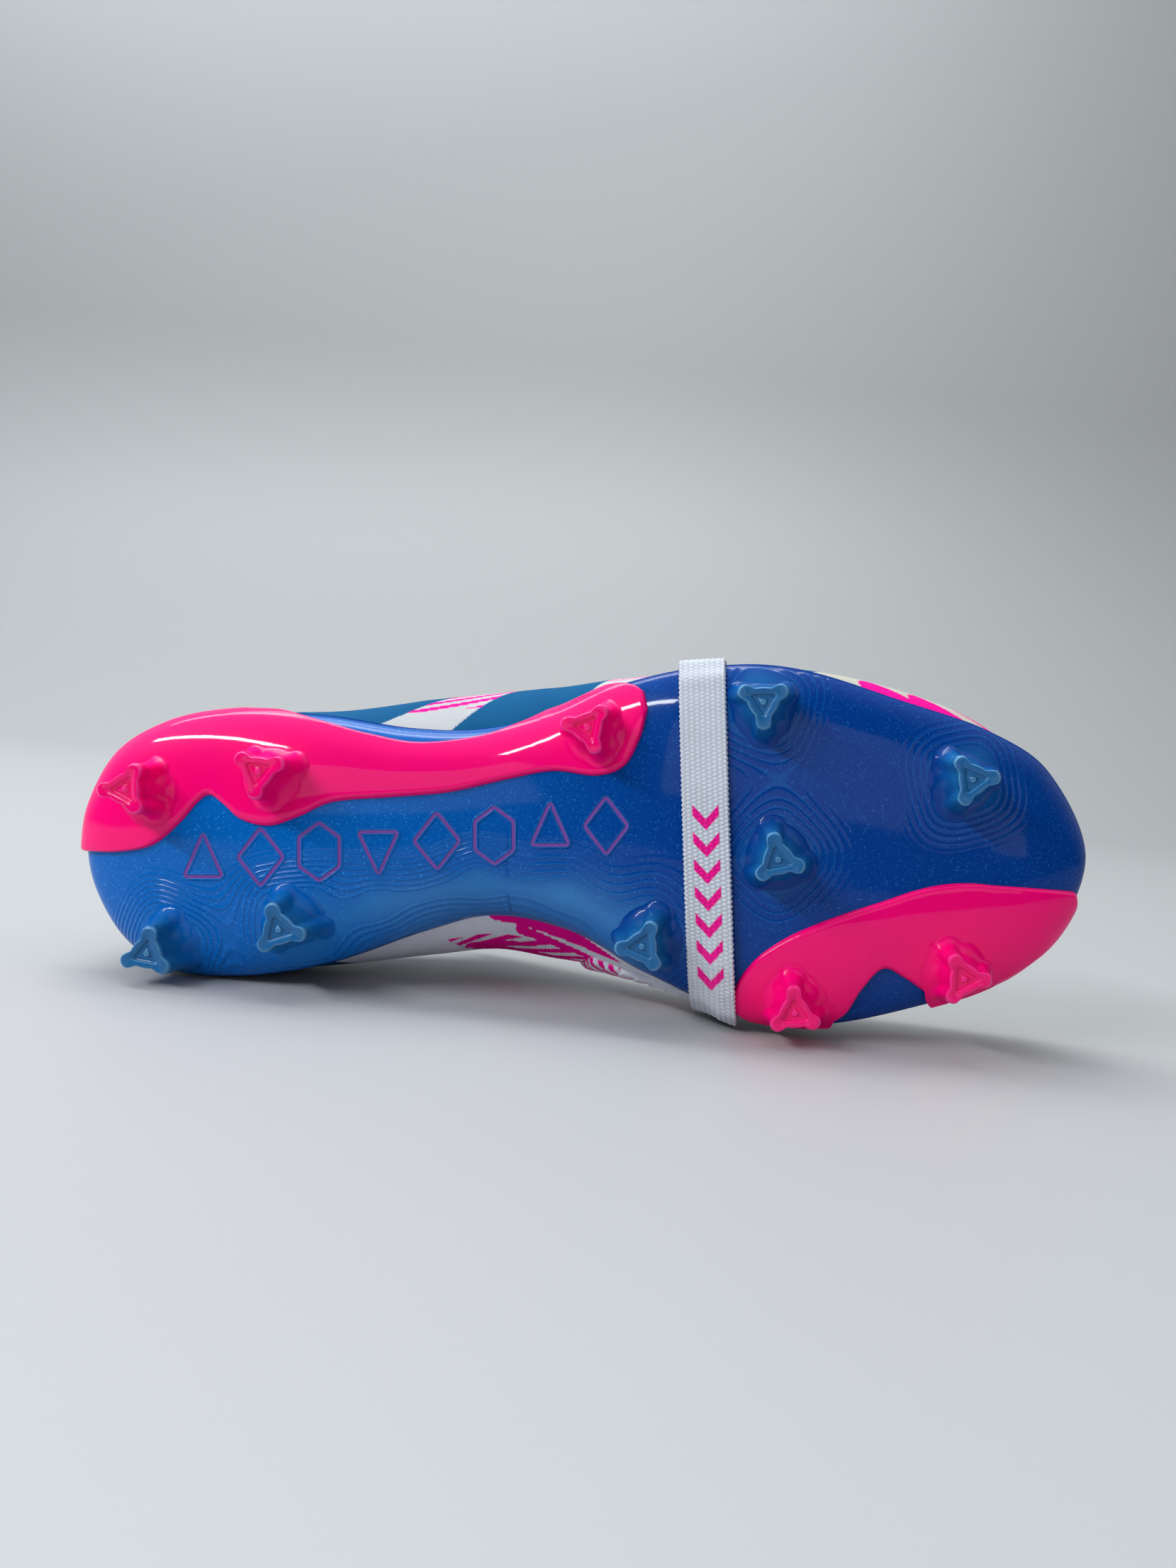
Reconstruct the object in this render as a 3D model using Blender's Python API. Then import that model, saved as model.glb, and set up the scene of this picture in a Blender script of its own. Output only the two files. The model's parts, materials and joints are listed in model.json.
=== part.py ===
"""Right-foot firm-ground soccer boot with a fold-over tongue, lying on its inner side.

The boot is drawn upright in its own millimetre coordinates: x from the heel to the toe, y towards
the inner (medial) side and z up from the ground plane of the studs. An empty then lays the whole
boot on its inner side, with the sole facing -Y and the toe towards +X.
"""
import math

import bmesh
import bpy
import numpy as np
from mathutils import Euler, Matrix, Vector
from mathutils.bvhtree import BVHTree

MM = 0.001
GAP = 0.35                  # clearance between neighbouring pieces, mm
LAYER_GAP = 0.8             # clearance between the faceted, curved layers of the upper, mm

# How the boot lies: first on its side, then turned until three places touch the ground.
ON_ITS_SIDE = math.radians(-90.0)
LEAN = math.radians(-1.61)  # the sole tips back
SWING = math.radians(-5.62)  # the heel comes down to the ground

# Sole outline. Each row: medial edge x, y; lateral edge x, y; spine x; rim height over the spine.
SOLE_STATIONS = [
    (0.0, 0.5, 0.0, 0.5, 33.0, 12.0),
    (3.0, 14.0, 2.5, -13.0, 34.0, 12.0),
    (12.0, 27.5, 11.0, -26.5, 36.0, 12.0),
    (27.0, 35.5, 26.0, -34.5, 41.0, 12.5),
    (46.0, 37.3, 46.0, -37.5, 51.0, 13.0),
    (70.0, 33.5, 68.0, -36.5, 69.0, 14.0),
    (94.0, 25.5, 90.0, -33.2, 91.0, 14.5),
    (114.0, 21.0, 110.0, -33.0, 112.0, 14.5),
    (136.0, 25.2, 131.0, -37.5, 133.0, 13.0),
    (157.0, 35.6, 151.0, -45.5, 154.0, 11.0),
    (182.0, 47.0, 176.0, -50.3, 178.0, 10.0),
    (207.0, 50.5, 202.0, -49.2, 203.0, 9.5),
    (234.0, 46.0, 230.0, -40.8, 228.0, 9.0),
    (256.0, 39.5, 256.0, -32.0, 243.0, 8.0),
    (274.0, 28.5, 274.0, -20.0, 250.0, 7.5),
    (285.0, 4.25, 285.0, 4.25, 253.0, 7.0),
]
LAST = len(SOLE_STATIONS) - 1
LOOP = 2 * LAST             # stations once round: heel 0, medial 0..LAST, toe LAST, lateral back
PLATE_ARCH = [(0, 15), (30, 12.5), (60, 12.5), (90, 15.5), (115, 18), (140, 17), (170, 13.5),
              (200, 12), (225, 13), (250, 16.5), (270, 20.5), (285, 25)]
SECTION_POWER = 2.8         # superellipse of the sole's cross-section
PLATE_THICKNESS = 2.0
RIM_THICKNESS = 1.0
BOARD_THICKNESS = 1.6       # lasting board in the plate's cup, with the sockliner over it
BOARD_INSET = 6.5
BOARD_LIMIT = 0.62
SOCKLINER_THICKNESS = 3.0
SOCKLINER_INSET = 8.0
SOCKLINER_LIMIT = 0.6

# Upper. Each row: throat edge x, y, z; how far the side leans out low down, medial and lateral;
# how far it rises there; and the offset of the upper control point from the throat edge.
FEATHER_INSET = 3.4         # the upper's lower edge, inside the plate's rim
FEATHER_LEAN_SHARE = 0.16   # and further in where the side leans out
FEATHER_DROP = 3.0
UPPER_STATIONS = [
    (9, 0, 80, 6, 6, 19, -8, 0, -18),
    (11, 8, 79.5, 6, 6, 19, -7, 4, -18),
    (18, 17, 77.5, 7, 7, 19, -5, 8, -18),
    (28, 23, 74.5, 8, 8, 19, -3, 10, -16),
    (43, 27, 72, 8, 8, 18, -1, 11, -15),
    (64, 27.5, 76, 12, 12, 18, 0, 12, -14),
    (84, 22, 89, 24, 31, 18, 1, 17, -14),
    (102, 16, 92.5, 33, 41, 18, 2, 20, -10),
    (120, 14, 84, 35, 38, 19, 3, 21, -8),
    (138, 13, 76, 24, 25, 20, 6, 21, -7),
    (154, 11, 69, 16, 14, 21, 12, 22, -6),
    (165, 8, 64.5, 17, 25, 23, 22, 20, -4),
    (171, 5, 62, 17, 37, 25, 34, 16, -2),
    (174, 3, 61, 18, 34, 26, 46, 10, 0),
    (175.5, 1.5, 60.6, 18, 18, 26, 56, 5, 1),
    (176, 0, 60.5, 18, 18, 26, 60, 0, 1),
]
UPPER_HALF = 0.6            # half of the upper's thickness

# Panels of the upper: station spans, and the share of the way from feather edge to throat.
SEAM = 0.012                # half a seam gap, in stations
VAMP_SEAM = 10.2            # between the quarters and the toe panel
HEEL_SEAM = 4.5             # between the quarters and the heel quarter
COUNTER_SPAN = 5.2
COUNTER_HEIGHTS = (0.03, 0.55)
COUNTER_THICKNESS = 1.2
PUFF_SPAN = (13.0, 17.0)
PUFF_HEIGHTS = (0.05, 0.4)
PUFF_THICKNESS = 1.0
PUFF_GAP = 0.5              # further in than the other layers, on the tight curve of the toe
LINING_SPAN = 5.7
LINING_HEIGHTS = (0.58, 0.99)
LINING_THICKNESS = 3.0
STRIKE_STATIONS = (8.4, 12.2)
STRIKE_HEIGHTS = (0.2, 0.62)
STRIKE_THICKNESS = 1.0
EYESTAY_STATIONS = (7.2, 10.5)
EYESTAY_HEIGHTS = (0.84, 0.92, 0.985)
EYESTAY_THICKNESS = 0.9

# Studs: name, x, y, angle of one lobe (degrees, from the toe towards medial), carrier.
STUDS = [
    ("heel_lateral_rear", 22.0, -15.4, 178, "heel"),
    ("heel_lateral_front", 57.4, -20.0, 98, "heel"),
    ("midfoot_lateral", 144.4, -31.8, 70, "heel"),
    ("heel_medial_rear", 27.0, 27.7, 160, "plate"),
    ("heel_medial_front", 62.4, 21.4, 13, "plate"),
    ("midfoot_medial", 159.3, 26.2, -65, "plate"),
    ("forefoot_lateral_rear", 191.5, -38.5, 89, "plate"),
    ("forefoot_lateral_front", 247.4, -18.0, -6, "plate"),
    ("forefoot_centre", 195.4, 3.0, -102, "plate"),
    ("forefoot_medial_rear", 199.9, 43.6, -93, "forefoot"),
    ("forefoot_medial_front", 245.2, 35.1, -117, "forefoot"),
]
STUD_HEIGHT = 12.5
TIP_HEIGHT = 3.4
BISECTIONS = 40
TIP_RADIUS = 5.5
TIP_LOBE = 0.37
POST_FOOT_RADIUS = 7.8
POST_FOOT_LIMIT = 0.8       # the foot stops before the plate's side wall
POST_STEPS = 4
STUD_SIDES = 18
STUD_UPRIGHT = 0.85         # share of straight down in a stud's direction; the rest is the plate's
STUD_LEAN_LIMIT = 0.8
PLATE_POST_COVER = -0.5     # blue posts start inside the plate

# Raised frames: pairs of points on their inner and outer edges.
FRAME_THICKNESS = 1.1
FRAME_GAP = 0.75            # under the frames, on the plate's faceted curve
HEEL_FRAME = [
    (3, 1.8, 0, 1), (14, 1.7, 2.5, -13), (24, -0.3, 11, -26.5), (31.5, -6.3, 24, -33.7),
    (36.5, -12, 35, -36.7), (39.8, -13.9, 42, -37.4), (44, -11, 50, -37.4), (48.5, -7.2, 57, -37),
    (56, -5.5, 64, -35.5), (64, -8, 72, -33.4), (73, -12, 81, -31), (88, -13.3, 95, -28.6),
    (104, -14.7, 111, -30.2), (120, -18.3, 124, -34.5), (133, -20.6, 135, -39.4),
    (145, -19.3, 144, -43.2), (153, -22, 151, -45), (157.5, -30, 155.5, -44.6),
    (159.5, -38, 158.3, -42.8),
]
FOREFOOT_FRAME = [
    (182.3, 44, 183.5, 46), (184.5, 37.5, 188, 48.5), (190, 30.5, 197, 50), (198, 25, 207, 50),
    (207, 21, 214, 47), (216, 17.8, 218.5, 40), (225, 15, 224.5, 34), (233, 12.4, 231, 37),
    (241, 10.8, 238.5, 42), (249, 10.5, 246.5, 43.3), (257, 11.3, 256.5, 39.4), (265, 12, 265.5, 34.5),
    (273, 12.8, 273.5, 28.6), (280.5, 13.7, 280.8, 19.6),
]
FRAME_COLUMNS = 6
FRAME_Q_LIMIT = 0.95

# Tongue, its fold-over flap and the elastic band.
TONGUE_THICKNESS = 2.4
TONGUE_TOP = (84.0, 103.0)  # x, z of the fold
TONGUE_DOME = 1.5
TONGUE_NECK = 0.55          # how far it narrows where it comes out of the throat
TONGUE_GAP = 1.6            # under the throat's edges
TONGUE_TUCK_X = (101.0, 118.0)
TONGUE_TUCK = (0.93, 0.82)  # how far down the upper's side its edge reaches
INSTEP_CREST = 102.0        # x of the throat's highest point
FLAP_THICKNESS = 2.0
FLAP_HALF_WIDTH = 31.0
FLAP_START = 87.0
FLAP_STRAIGHT = 166.0       # x where its round front end begins
FLAP_REACH = 190.0
FLAP_REAR_SLOPE = 0.45
FLAP_TAPER = 0.06           # loss of half width per mm back from the round end
FLAP_TIP_SHARE = 0.25       # width left at its very front
FLAP_LIFT_X = (164.0, 176.0)
FLAP_LIFT = (3.0, 1.4)      # over the upper's outer face: on the eyelet facings, and past them
STRIKE_TOP = 2.7            # height of the rubber panel over the upper's middle surface
STRIKE_SPAN = (0.16, 0.66)
BAND_X = 176.0
BAND_HALF_WIDTH = 6.5
BAND_THICKNESS = 1.2
BAND_SLANT = 0.03
BAND_CLEARANCE = 0.9
BAND_CENTRE_Z = 38.0
BAND_SIDES = 56

EYELETS = 5
EYELET_RADIUS = 1.7
FIRST_EYELET = 7.55         # station of the lowest-numbered eyelet, and the step between them
EYELET_PITCH = 0.65
EYELET_HEIGHT = 0.91
EYELET_CUT = 2.0            # half the length of the cutters

COLOURS = {
    "plate_blue": (0.010, 0.090, 0.330), "frame_pink": (0.85, 0.010, 0.20),
    "tip_blue": (0.15, 0.36, 0.62), "tip_pink": (0.90, 0.06, 0.30),
    "upper_white": (0.62, 0.66, 0.74), "upper_teal": (0.015, 0.14, 0.26),
    "rubber_pink": (0.80, 0.02, 0.25), "band_white": (0.70, 0.72, 0.78),
    "board_grey": (0.45, 0.43, 0.40), "foam_blue": (0.05, 0.12, 0.30),
    "lining_grey": (0.30, 0.33, 0.38), "stiffener": (0.55, 0.52, 0.46),
}


# ---------------------------------------------------------------- curves and surfaces

def catmull(rows, position, closed):
    """Smooth curve through rows at a real-valued station."""
    rows = np.asarray(rows, float)
    count = len(rows)
    base = int(math.floor(position))
    if not closed:
        base = min(max(base, 0), count - 2)
    part = position - base
    if closed:
        a, b, c, d = (rows[(base + k) % count] for k in (-1, 0, 1, 2))
    else:
        b, c = rows[base], rows[base + 1]
        a = rows[base - 1] if base > 0 else 2 * b - c
        d = rows[base + 2] if base + 2 < count else 2 * c - b
    return b + 0.5 * part * ((c - a) + part * ((2 * a - 5 * b + 4 * c - d)
                                               + part * (3 * (b - c) + d - a)))


def mirrored_loop(values):
    """Closed list of stations from the medial rows followed by the lateral ones."""
    medial = [values(row, 1) for row in range(LAST + 1)]
    lateral = [values(row, -1) for row in range(LAST - 1, 0, -1)]
    return np.array(medial + lateral, float)


def sole_row(row, side):
    data = SOLE_STATIONS[row]
    x, y = (data[0], data[1]) if side > 0 else (data[2], data[3])
    spine_y = 0.5 * (data[1] + data[3])
    return (x, y, data[4], spine_y, data[5])


def upper_row(row, side):
    x, y, z, low_medial, low_lateral, rise, ox, oy, oz = UPPER_STATIONS[row]
    low = low_medial if side > 0 else low_lateral
    return (x, side * y, z, low, rise, ox, side * oy, oz)


SOLE_LOOP = mirrored_loop(sole_row)
UPPER_LOOP = mirrored_loop(upper_row)


def arch_height(x):
    """Height of the plate's underside along its spine."""
    knots = np.array(PLATE_ARCH, float)
    x = min(max(x, knots[0, 0]), knots[-1, 0])
    index = min(int(np.searchsorted(knots[:, 0], x, side="right")) - 1, len(knots) - 2)
    part = (x - knots[index, 0]) / (knots[index + 1, 0] - knots[index, 0])
    return catmull(knots, index + part, False)[1]


def sole_point(station, q, inset=0.0, lift=0.0):
    """Point on the plate's underside: q runs from the spine (0) to the rim (1)."""
    edge_x, edge_y, spine_x, spine_y, rise = catmull(SOLE_LOOP, station, True)
    spine = np.array((spine_x, spine_y))
    spoke = np.array((edge_x, edge_y)) - spine
    spoke *= 1.0 - inset / np.linalg.norm(spoke)
    angle = q * math.pi / 2
    out = math.sin(angle) ** (2 / SECTION_POWER)
    up = 1 - max(math.cos(angle), 0.0) ** (2 / SECTION_POWER)
    x, y = spine + spoke * out
    return np.array((x, y, arch_height(x) + lift + (rise - lift) * up))


def sole_normal(station, q):
    """Outward (downward) unit normal of the plate's underside."""
    step = 0.02
    q = min(max(q, 0.05), 0.97)
    along = sole_point(station + step, q) - sole_point(station - step, q)
    across = sole_point(station, q + step) - sole_point(station, q - step)
    normal = np.cross(across, along)
    normal /= np.linalg.norm(normal)
    return normal


def spine_station(x):
    """Station at which the spine stands at x, or the nearer end of the spine."""
    low, high = 0.0, float(LAST)
    for _ in range(BISECTIONS):
        middle = 0.5 * (low + high)
        if catmull(SOLE_LOOP, middle, True)[2] < x:
            low = middle
        else:
            high = middle
    return 0.5 * (low + high)


def locate(x, y):
    """Station and q of a plan position."""
    centre_y = catmull(SOLE_LOOP, spine_station(x), True)[3]
    side = 1 if y > centre_y else -1

    def miss(station):
        edge_x, edge_y, spine_x, spine_y, _ = catmull(SOLE_LOOP, side * station, True)
        return side * ((edge_x - spine_x) * (y - spine_y) - (edge_y - spine_y) * (x - spine_x))

    low, high = 0.0, float(LAST)
    for _ in range(BISECTIONS):
        middle = 0.5 * (low + high)
        if miss(middle) < 0:
            low = middle
        else:
            high = middle
    station = side * 0.5 * (low + high)
    edge_x, edge_y, spine_x, spine_y, _ = catmull(SOLE_LOOP, station, True)
    out = math.hypot(x - spine_x, y - spine_y) / math.hypot(edge_x - spine_x, edge_y - spine_y)
    q = 2 / math.pi * math.asin(min(out, 1.0) ** (SECTION_POWER / 2))
    return station, q


def sole_surface(x, y, offset=0.0, limit=1.0):
    """Point on the plate's underside at a plan position, moved out along its normal."""
    station, q = locate(x, y)
    q = min(q, limit)
    return sole_point(station, q) + sole_normal(station, q) * offset


def upper_point(station, t):
    """Middle surface of the upper: t runs from the feather edge (0) to the throat (1)."""
    rim = sole_point(station, 1.0)
    step = 0.05
    tangent = sole_point(station + step, 1.0) - sole_point(station - step, 1.0)
    out = np.array((-tangent[1], tangent[0], 0.0))
    out /= np.linalg.norm(out)
    throat_x, throat_y, throat_z, low, rise, ox, oy, oz = catmull(UPPER_LOOP, station, True)
    start = rim - out * (FEATHER_INSET + FEATHER_LEAN_SHARE * low)
    start[2] -= FEATHER_DROP
    first = start + out * low + np.array((0, 0, rise))
    end = np.array((throat_x, throat_y, throat_z))
    second = end + np.array((ox, oy, oz))
    u = 1 - t
    return u ** 3 * start + 3 * u * u * t * first + 3 * u * t * t * second + t ** 3 * end


def upper_normal(station, t):
    step = 0.02
    t = min(max(t, step), 1 - step)
    along = upper_point(station + step, t) - upper_point(station - step, t)
    rise = upper_point(station, t + step) - upper_point(station, t - step)
    normal = np.cross(rise, along)
    return normal / np.linalg.norm(normal)


def upper_offset(station, t, offset):
    return upper_point(station, t) + upper_normal(station, t) * offset


# ---------------------------------------------------------------- mesh helpers

def clear_scene():
    for existing in list(bpy.data.objects):
        bpy.data.objects.remove(existing, do_unlink=True)


def make_material(name, roughness, metallic=0.0):
    material = bpy.data.materials.new(name)
    material.use_nodes = True
    shader = material.node_tree.nodes["Principled BSDF"]
    shader.inputs["Base Color"].default_value = (*COLOURS[name], 1.0)
    shader.inputs["Roughness"].default_value = roughness
    shader.inputs["Metallic"].default_value = metallic
    return material


def add_object(name, points, faces, material, parent):
    """One mesh object from millimetre points given in the boot's upright coordinates."""
    mesh = bpy.data.meshes.new(name)
    origin = np.array(parent.get("upright_origin", (0.0, 0.0, 0.0)))
    mesh.from_pydata([tuple((np.asarray(p) - origin) * MM) for p in points], [], faces)
    work = bmesh.new()
    work.from_mesh(mesh)
    bmesh.ops.remove_doubles(work, verts=work.verts, dist=1e-6)
    bmesh.ops.recalc_face_normals(work, faces=work.faces)
    work.to_mesh(mesh)
    work.free()
    mesh.materials.append(material)
    mesh.shade_smooth()
    mesh.set_sharp_from_angle(angle=math.radians(40))
    item = bpy.data.objects.new(name, mesh)
    bpy.context.collection.objects.link(item)
    item.parent = parent
    return item


def sheet_solid(top, bottom):
    """Closed solid between two equal grids of points."""
    rows, columns = len(top), len(top[0])
    points = [p for row in top for p in row] + [p for row in bottom for p in row]
    half = rows * columns
    faces = []
    for i in range(rows - 1):
        for j in range(columns - 1):
            a = i * columns + j
            b = a + columns
            faces.append((a, a + 1, b + 1, b))
            faces.append((half + a, half + b, half + b + 1, half + a + 1))
    for i in range(rows - 1):
        for j in (0, columns - 1):
            a = i * columns + j
            faces.append((a, a + columns, half + a + columns, half + a))
    for j in range(columns - 1):
        for i in (0, rows - 1):
            a = i * columns + j
            faces.append((a, a + 1, half + a + 1, half + a))
    return points, faces


def ring_solid(rings, hubs):
    """Closed solid through a stack of equal rings, capped by a fan from a hub at both ends."""
    count = len(rings[0])
    points = [p for ring in rings for p in ring]
    faces = []
    for ring_start, hub_point in ((0, hubs[0]), (len(points) - count, hubs[1])):
        hub = len(points)
        points.append(hub_point)
        for i in range(count):
            faces.append((ring_start + i, ring_start + (i + 1) % count, hub))
    for k in range(len(rings) - 1):
        for i in range(count):
            a = k * count + i
            b = k * count + (i + 1) % count
            faces.append((a, b, b + count, a + count))
    return points, faces


def union(item, cutter):
    cutter.hide_render = True
    cutter.display_type = "WIRE"
    modifier = item.modifiers.new(cutter.name, "BOOLEAN")
    modifier.operation = "UNION"
    modifier.solver = "EXACT"
    modifier.object = cutter


def cut(item, cutter):
    union(item, cutter)
    item.modifiers[-1].operation = "DIFFERENCE"


def upper_patch(name, stations, heights, inner, outer, material, parent):
    """A panel that follows the upper between two offsets from its middle surface."""
    top = [[upper_offset(s, t, outer) for t in heights] for s in stations]
    bottom = [[upper_offset(s, t, inner) for t in heights] for s in stations]
    return add_object(name, *sheet_solid(top, bottom), material, parent)


# ---------------------------------------------------------------- sole

def sole_shell(stations_per, columns, outer, inner):
    """Cup between two sole surfaces; outer and inner are (inset, lift, q limit)."""
    stations = [k / stations_per for k in range(LOOP * stations_per)]
    count = len(stations)
    points = []
    faces = []
    for inset, lift, limit in (outer, inner):
        for station in stations:
            for j in range(columns + 1):
                points.append(sole_point(station, limit * j / columns, inset, lift))
    width = columns + 1
    half = count * width
    for i in range(count):
        after = (i + 1) % count
        for j in range(columns):
            a, b = i * width + j, after * width + j
            faces.append((a, a + 1, b + 1, b))
            faces.append((half + a, half + b, half + b + 1, half + a + 1))
        a, b = i * width + columns, after * width + columns
        faces.append((a, half + a, half + b, b))
    return points, faces


def spine_welded(points, faces, stations_per, columns):
    """Merges the two halves of the spine line, which the medial and lateral spokes share."""
    count = LOOP * stations_per
    width = columns + 1
    swap = {}
    for layer in (0, count * width):
        for i in range(count // 2 + 1, count):
            swap[layer + i * width] = layer + (count - i) * width
    faces = [tuple(swap.get(v, v) for v in face) for face in faces]
    return points, faces


def build_plate(parent, material):
    columns = 7
    per = 2
    outer = (0.0, 0.0, 1.0)
    inner = (RIM_THICKNESS, PLATE_THICKNESS, 1.0)
    points, faces = sole_shell(per, columns, outer, inner)
    return add_object("outsole_plate", *spine_welded(points, faces, per, columns), material, parent)


def build_board(name, lift, thickness, inset, limit, material, parent):
    """Flat-edged board lying in the plate's cup."""
    columns = 4
    per = 1
    outer = (inset, lift, limit)
    inner = (inset, lift + thickness, limit)
    points, faces = sole_shell(per, columns, outer, inner)
    return add_object(name, *spine_welded(points, faces, per, columns), material, parent)


def frame_edges(pairs, per):
    """Smooth inner and outer plan edges of a raised frame."""
    count = (len(pairs) - 1) * per
    return [catmull(pairs, k / per, False) for k in range(count + 1)]


def build_frame(name, pairs, material, parent):
    top, bottom = [], []
    for inner_x, inner_y, outer_x, outer_y in frame_edges(pairs, 2):
        row_top, row_bottom = [], []
        inner = np.array(locate(inner_x, inner_y))
        outer = np.array(locate(outer_x, outer_y))
        for j in range(FRAME_COLUMNS + 1):
            station, q = inner + (outer - inner) * j / FRAME_COLUMNS
            point = sole_point(station, min(q, FRAME_Q_LIMIT))
            normal = sole_normal(station, min(q, FRAME_Q_LIMIT))
            row_top.append(point + normal * (FRAME_GAP + FRAME_THICKNESS))
            row_bottom.append(point + normal * FRAME_GAP)
        top.append(row_top)
        bottom.append(row_bottom)
    return add_object(name, *sheet_solid(top, bottom), material, parent)


def lobed_ring(centre, axis, lobe_angle, radius, lobe):
    """Three-lobed ring round an axis; the lobe angle is seen from above the sole."""
    ring = []
    side_x = np.array((1.0, 0.0, 0.0)) - axis * axis[0]
    side_x /= np.linalg.norm(side_x)
    side_y = np.cross(side_x, axis)
    if side_y[1] < 0:
        side_y = -side_y
    for k in range(STUD_SIDES):
        angle = 2 * math.pi * k / STUD_SIDES
        swing = 3 * (angle - math.radians(lobe_angle))
        reach = radius * (1 + lobe * math.cos(swing) + 0.2 * lobe * math.cos(2 * swing))
        ring.append(centre + reach * (math.cos(angle) * side_x + math.sin(angle) * side_y))
    return ring


def stud_axis(x, y):
    """Studs stand mostly straight down and lean a little with the plate."""
    station, q = locate(x, y)
    axis = STUD_UPRIGHT * np.array((0.0, 0.0, -1.0))
    axis += (1 - STUD_UPRIGHT) * sole_normal(station, min(q, STUD_LEAN_LIMIT))
    return axis / np.linalg.norm(axis)


def build_post(name, x, y, lobe_angle, cover, material, parent):
    """Stud post: a flared foot on its carrier's surface that turns into a three-lobed shaft."""
    axis = stud_axis(x, y)
    foot = sole_surface(x, y)
    head = foot + axis * (STUD_HEIGHT - TIP_HEIGHT - GAP)
    top = lobed_ring(head, axis, lobe_angle, TIP_RADIUS * 1.02, TIP_LOBE)
    flare = lobed_ring(foot, axis, lobe_angle, POST_FOOT_RADIUS, 0.1)
    base = [sole_surface(p[0], p[1], cover, POST_FOOT_LIMIT) for p in flare]
    inner = [sole_surface(0.5 * (p[0] + x), 0.5 * (p[1] + y), cover, POST_FOOT_LIMIT)
             for p in flare]
    rings = [inner]
    for k in range(POST_STEPS + 1):
        part = k / POST_STEPS
        inward = 1 - (1 - part) ** 2.4
        rise = part ** 1.7
        ring = []
        for low, high in zip(base, top):
            height = np.dot(high - low, axis)
            level = high - axis * height - low
            ring.append(low + level * inward + axis * height * rise)
        rings.append(ring)
    hubs = (sole_surface(x, y, cover, POST_FOOT_LIMIT), head)
    return add_object(name, *ring_solid(rings, hubs), material, parent)


def build_tip(name, x, y, lobe_angle, material, parent):
    """Clear moulded cap on the end of a stud post."""
    axis = stud_axis(x, y)
    foot = sole_surface(x, y)
    start = STUD_HEIGHT - TIP_HEIGHT
    rings = []
    for height, radius in ((start, 1.0), (STUD_HEIGHT - 0.8, 0.97), (STUD_HEIGHT, 0.86)):
        rings.append(lobed_ring(foot + axis * height, axis, lobe_angle, TIP_RADIUS * radius,
                                TIP_LOBE))
    hubs = (foot + axis * start, foot + axis * STUD_HEIGHT)
    return add_object("stud_tip_" + name, *ring_solid(rings, hubs), material, parent)


def build_studs(carriers, materials, parent):
    for name, x, y, lobe_angle, carrier in STUDS:
        pink = carrier != "plate"
        tip_material = materials["tip_pink" if pink else "tip_blue"]
        build_tip(name, x, y, lobe_angle, tip_material, parent)
        cover = FRAME_GAP + 0.5 * FRAME_THICKNESS if pink else PLATE_POST_COVER
        item = carriers[carrier]
        post = build_post("post_" + name, x, y, lobe_angle, cover, item.data.materials[0], parent)
        union(item, post)


# ---------------------------------------------------------------- upper

def spread(low, high, count):
    return [low + (high - low) * k / count for k in range(count + 1)]


def build_upper(materials, parent):
    inner, outer = -UPPER_HALF, UPPER_HALF
    vamp, heel = VAMP_SEAM + SEAM, HEEL_SEAM - SEAM
    quarter = spread(HEEL_SEAM + SEAM, VAMP_SEAM - SEAM, 12)
    whole = spread(0.0, 1.0, 10)
    white, teal = materials["upper_white"], materials["upper_teal"]
    upper_patch("toe_panel", spread(vamp, LOOP - vamp, 20), whole, inner, outer, white, parent)
    upper_patch("medial_quarter", quarter, whole, inner, outer, white, parent)
    upper_patch("lateral_quarter", [-s for s in quarter[::-1]], whole, inner, outer, teal, parent)
    upper_patch("heel_quarter", spread(-heel, heel, 16), whole, inner, outer, teal, parent)
    under = inner - LAYER_GAP
    upper_patch("heel_counter", spread(-COUNTER_SPAN, COUNTER_SPAN, 14), spread(*COUNTER_HEIGHTS, 4),
                under - COUNTER_THICKNESS, under, materials["stiffener"], parent)
    puff_top = under - PUFF_GAP
    upper_patch("toe_puff", spread(*PUFF_SPAN, 12), spread(*PUFF_HEIGHTS, 6),
                puff_top - PUFF_THICKNESS, puff_top, materials["stiffener"], parent)
    upper_patch("collar_lining", spread(-LINING_SPAN, LINING_SPAN, 20), spread(*LINING_HEIGHTS, 4),
                under - LINING_THICKNESS, under, materials["foam_blue"], parent)
    over = outer + LAYER_GAP
    upper_patch("strike_panel", spread(*STRIKE_STATIONS, 8), spread(*STRIKE_HEIGHTS, 5),
                over, over + STRIKE_THICKNESS, materials["rubber_pink"], parent)


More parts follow.
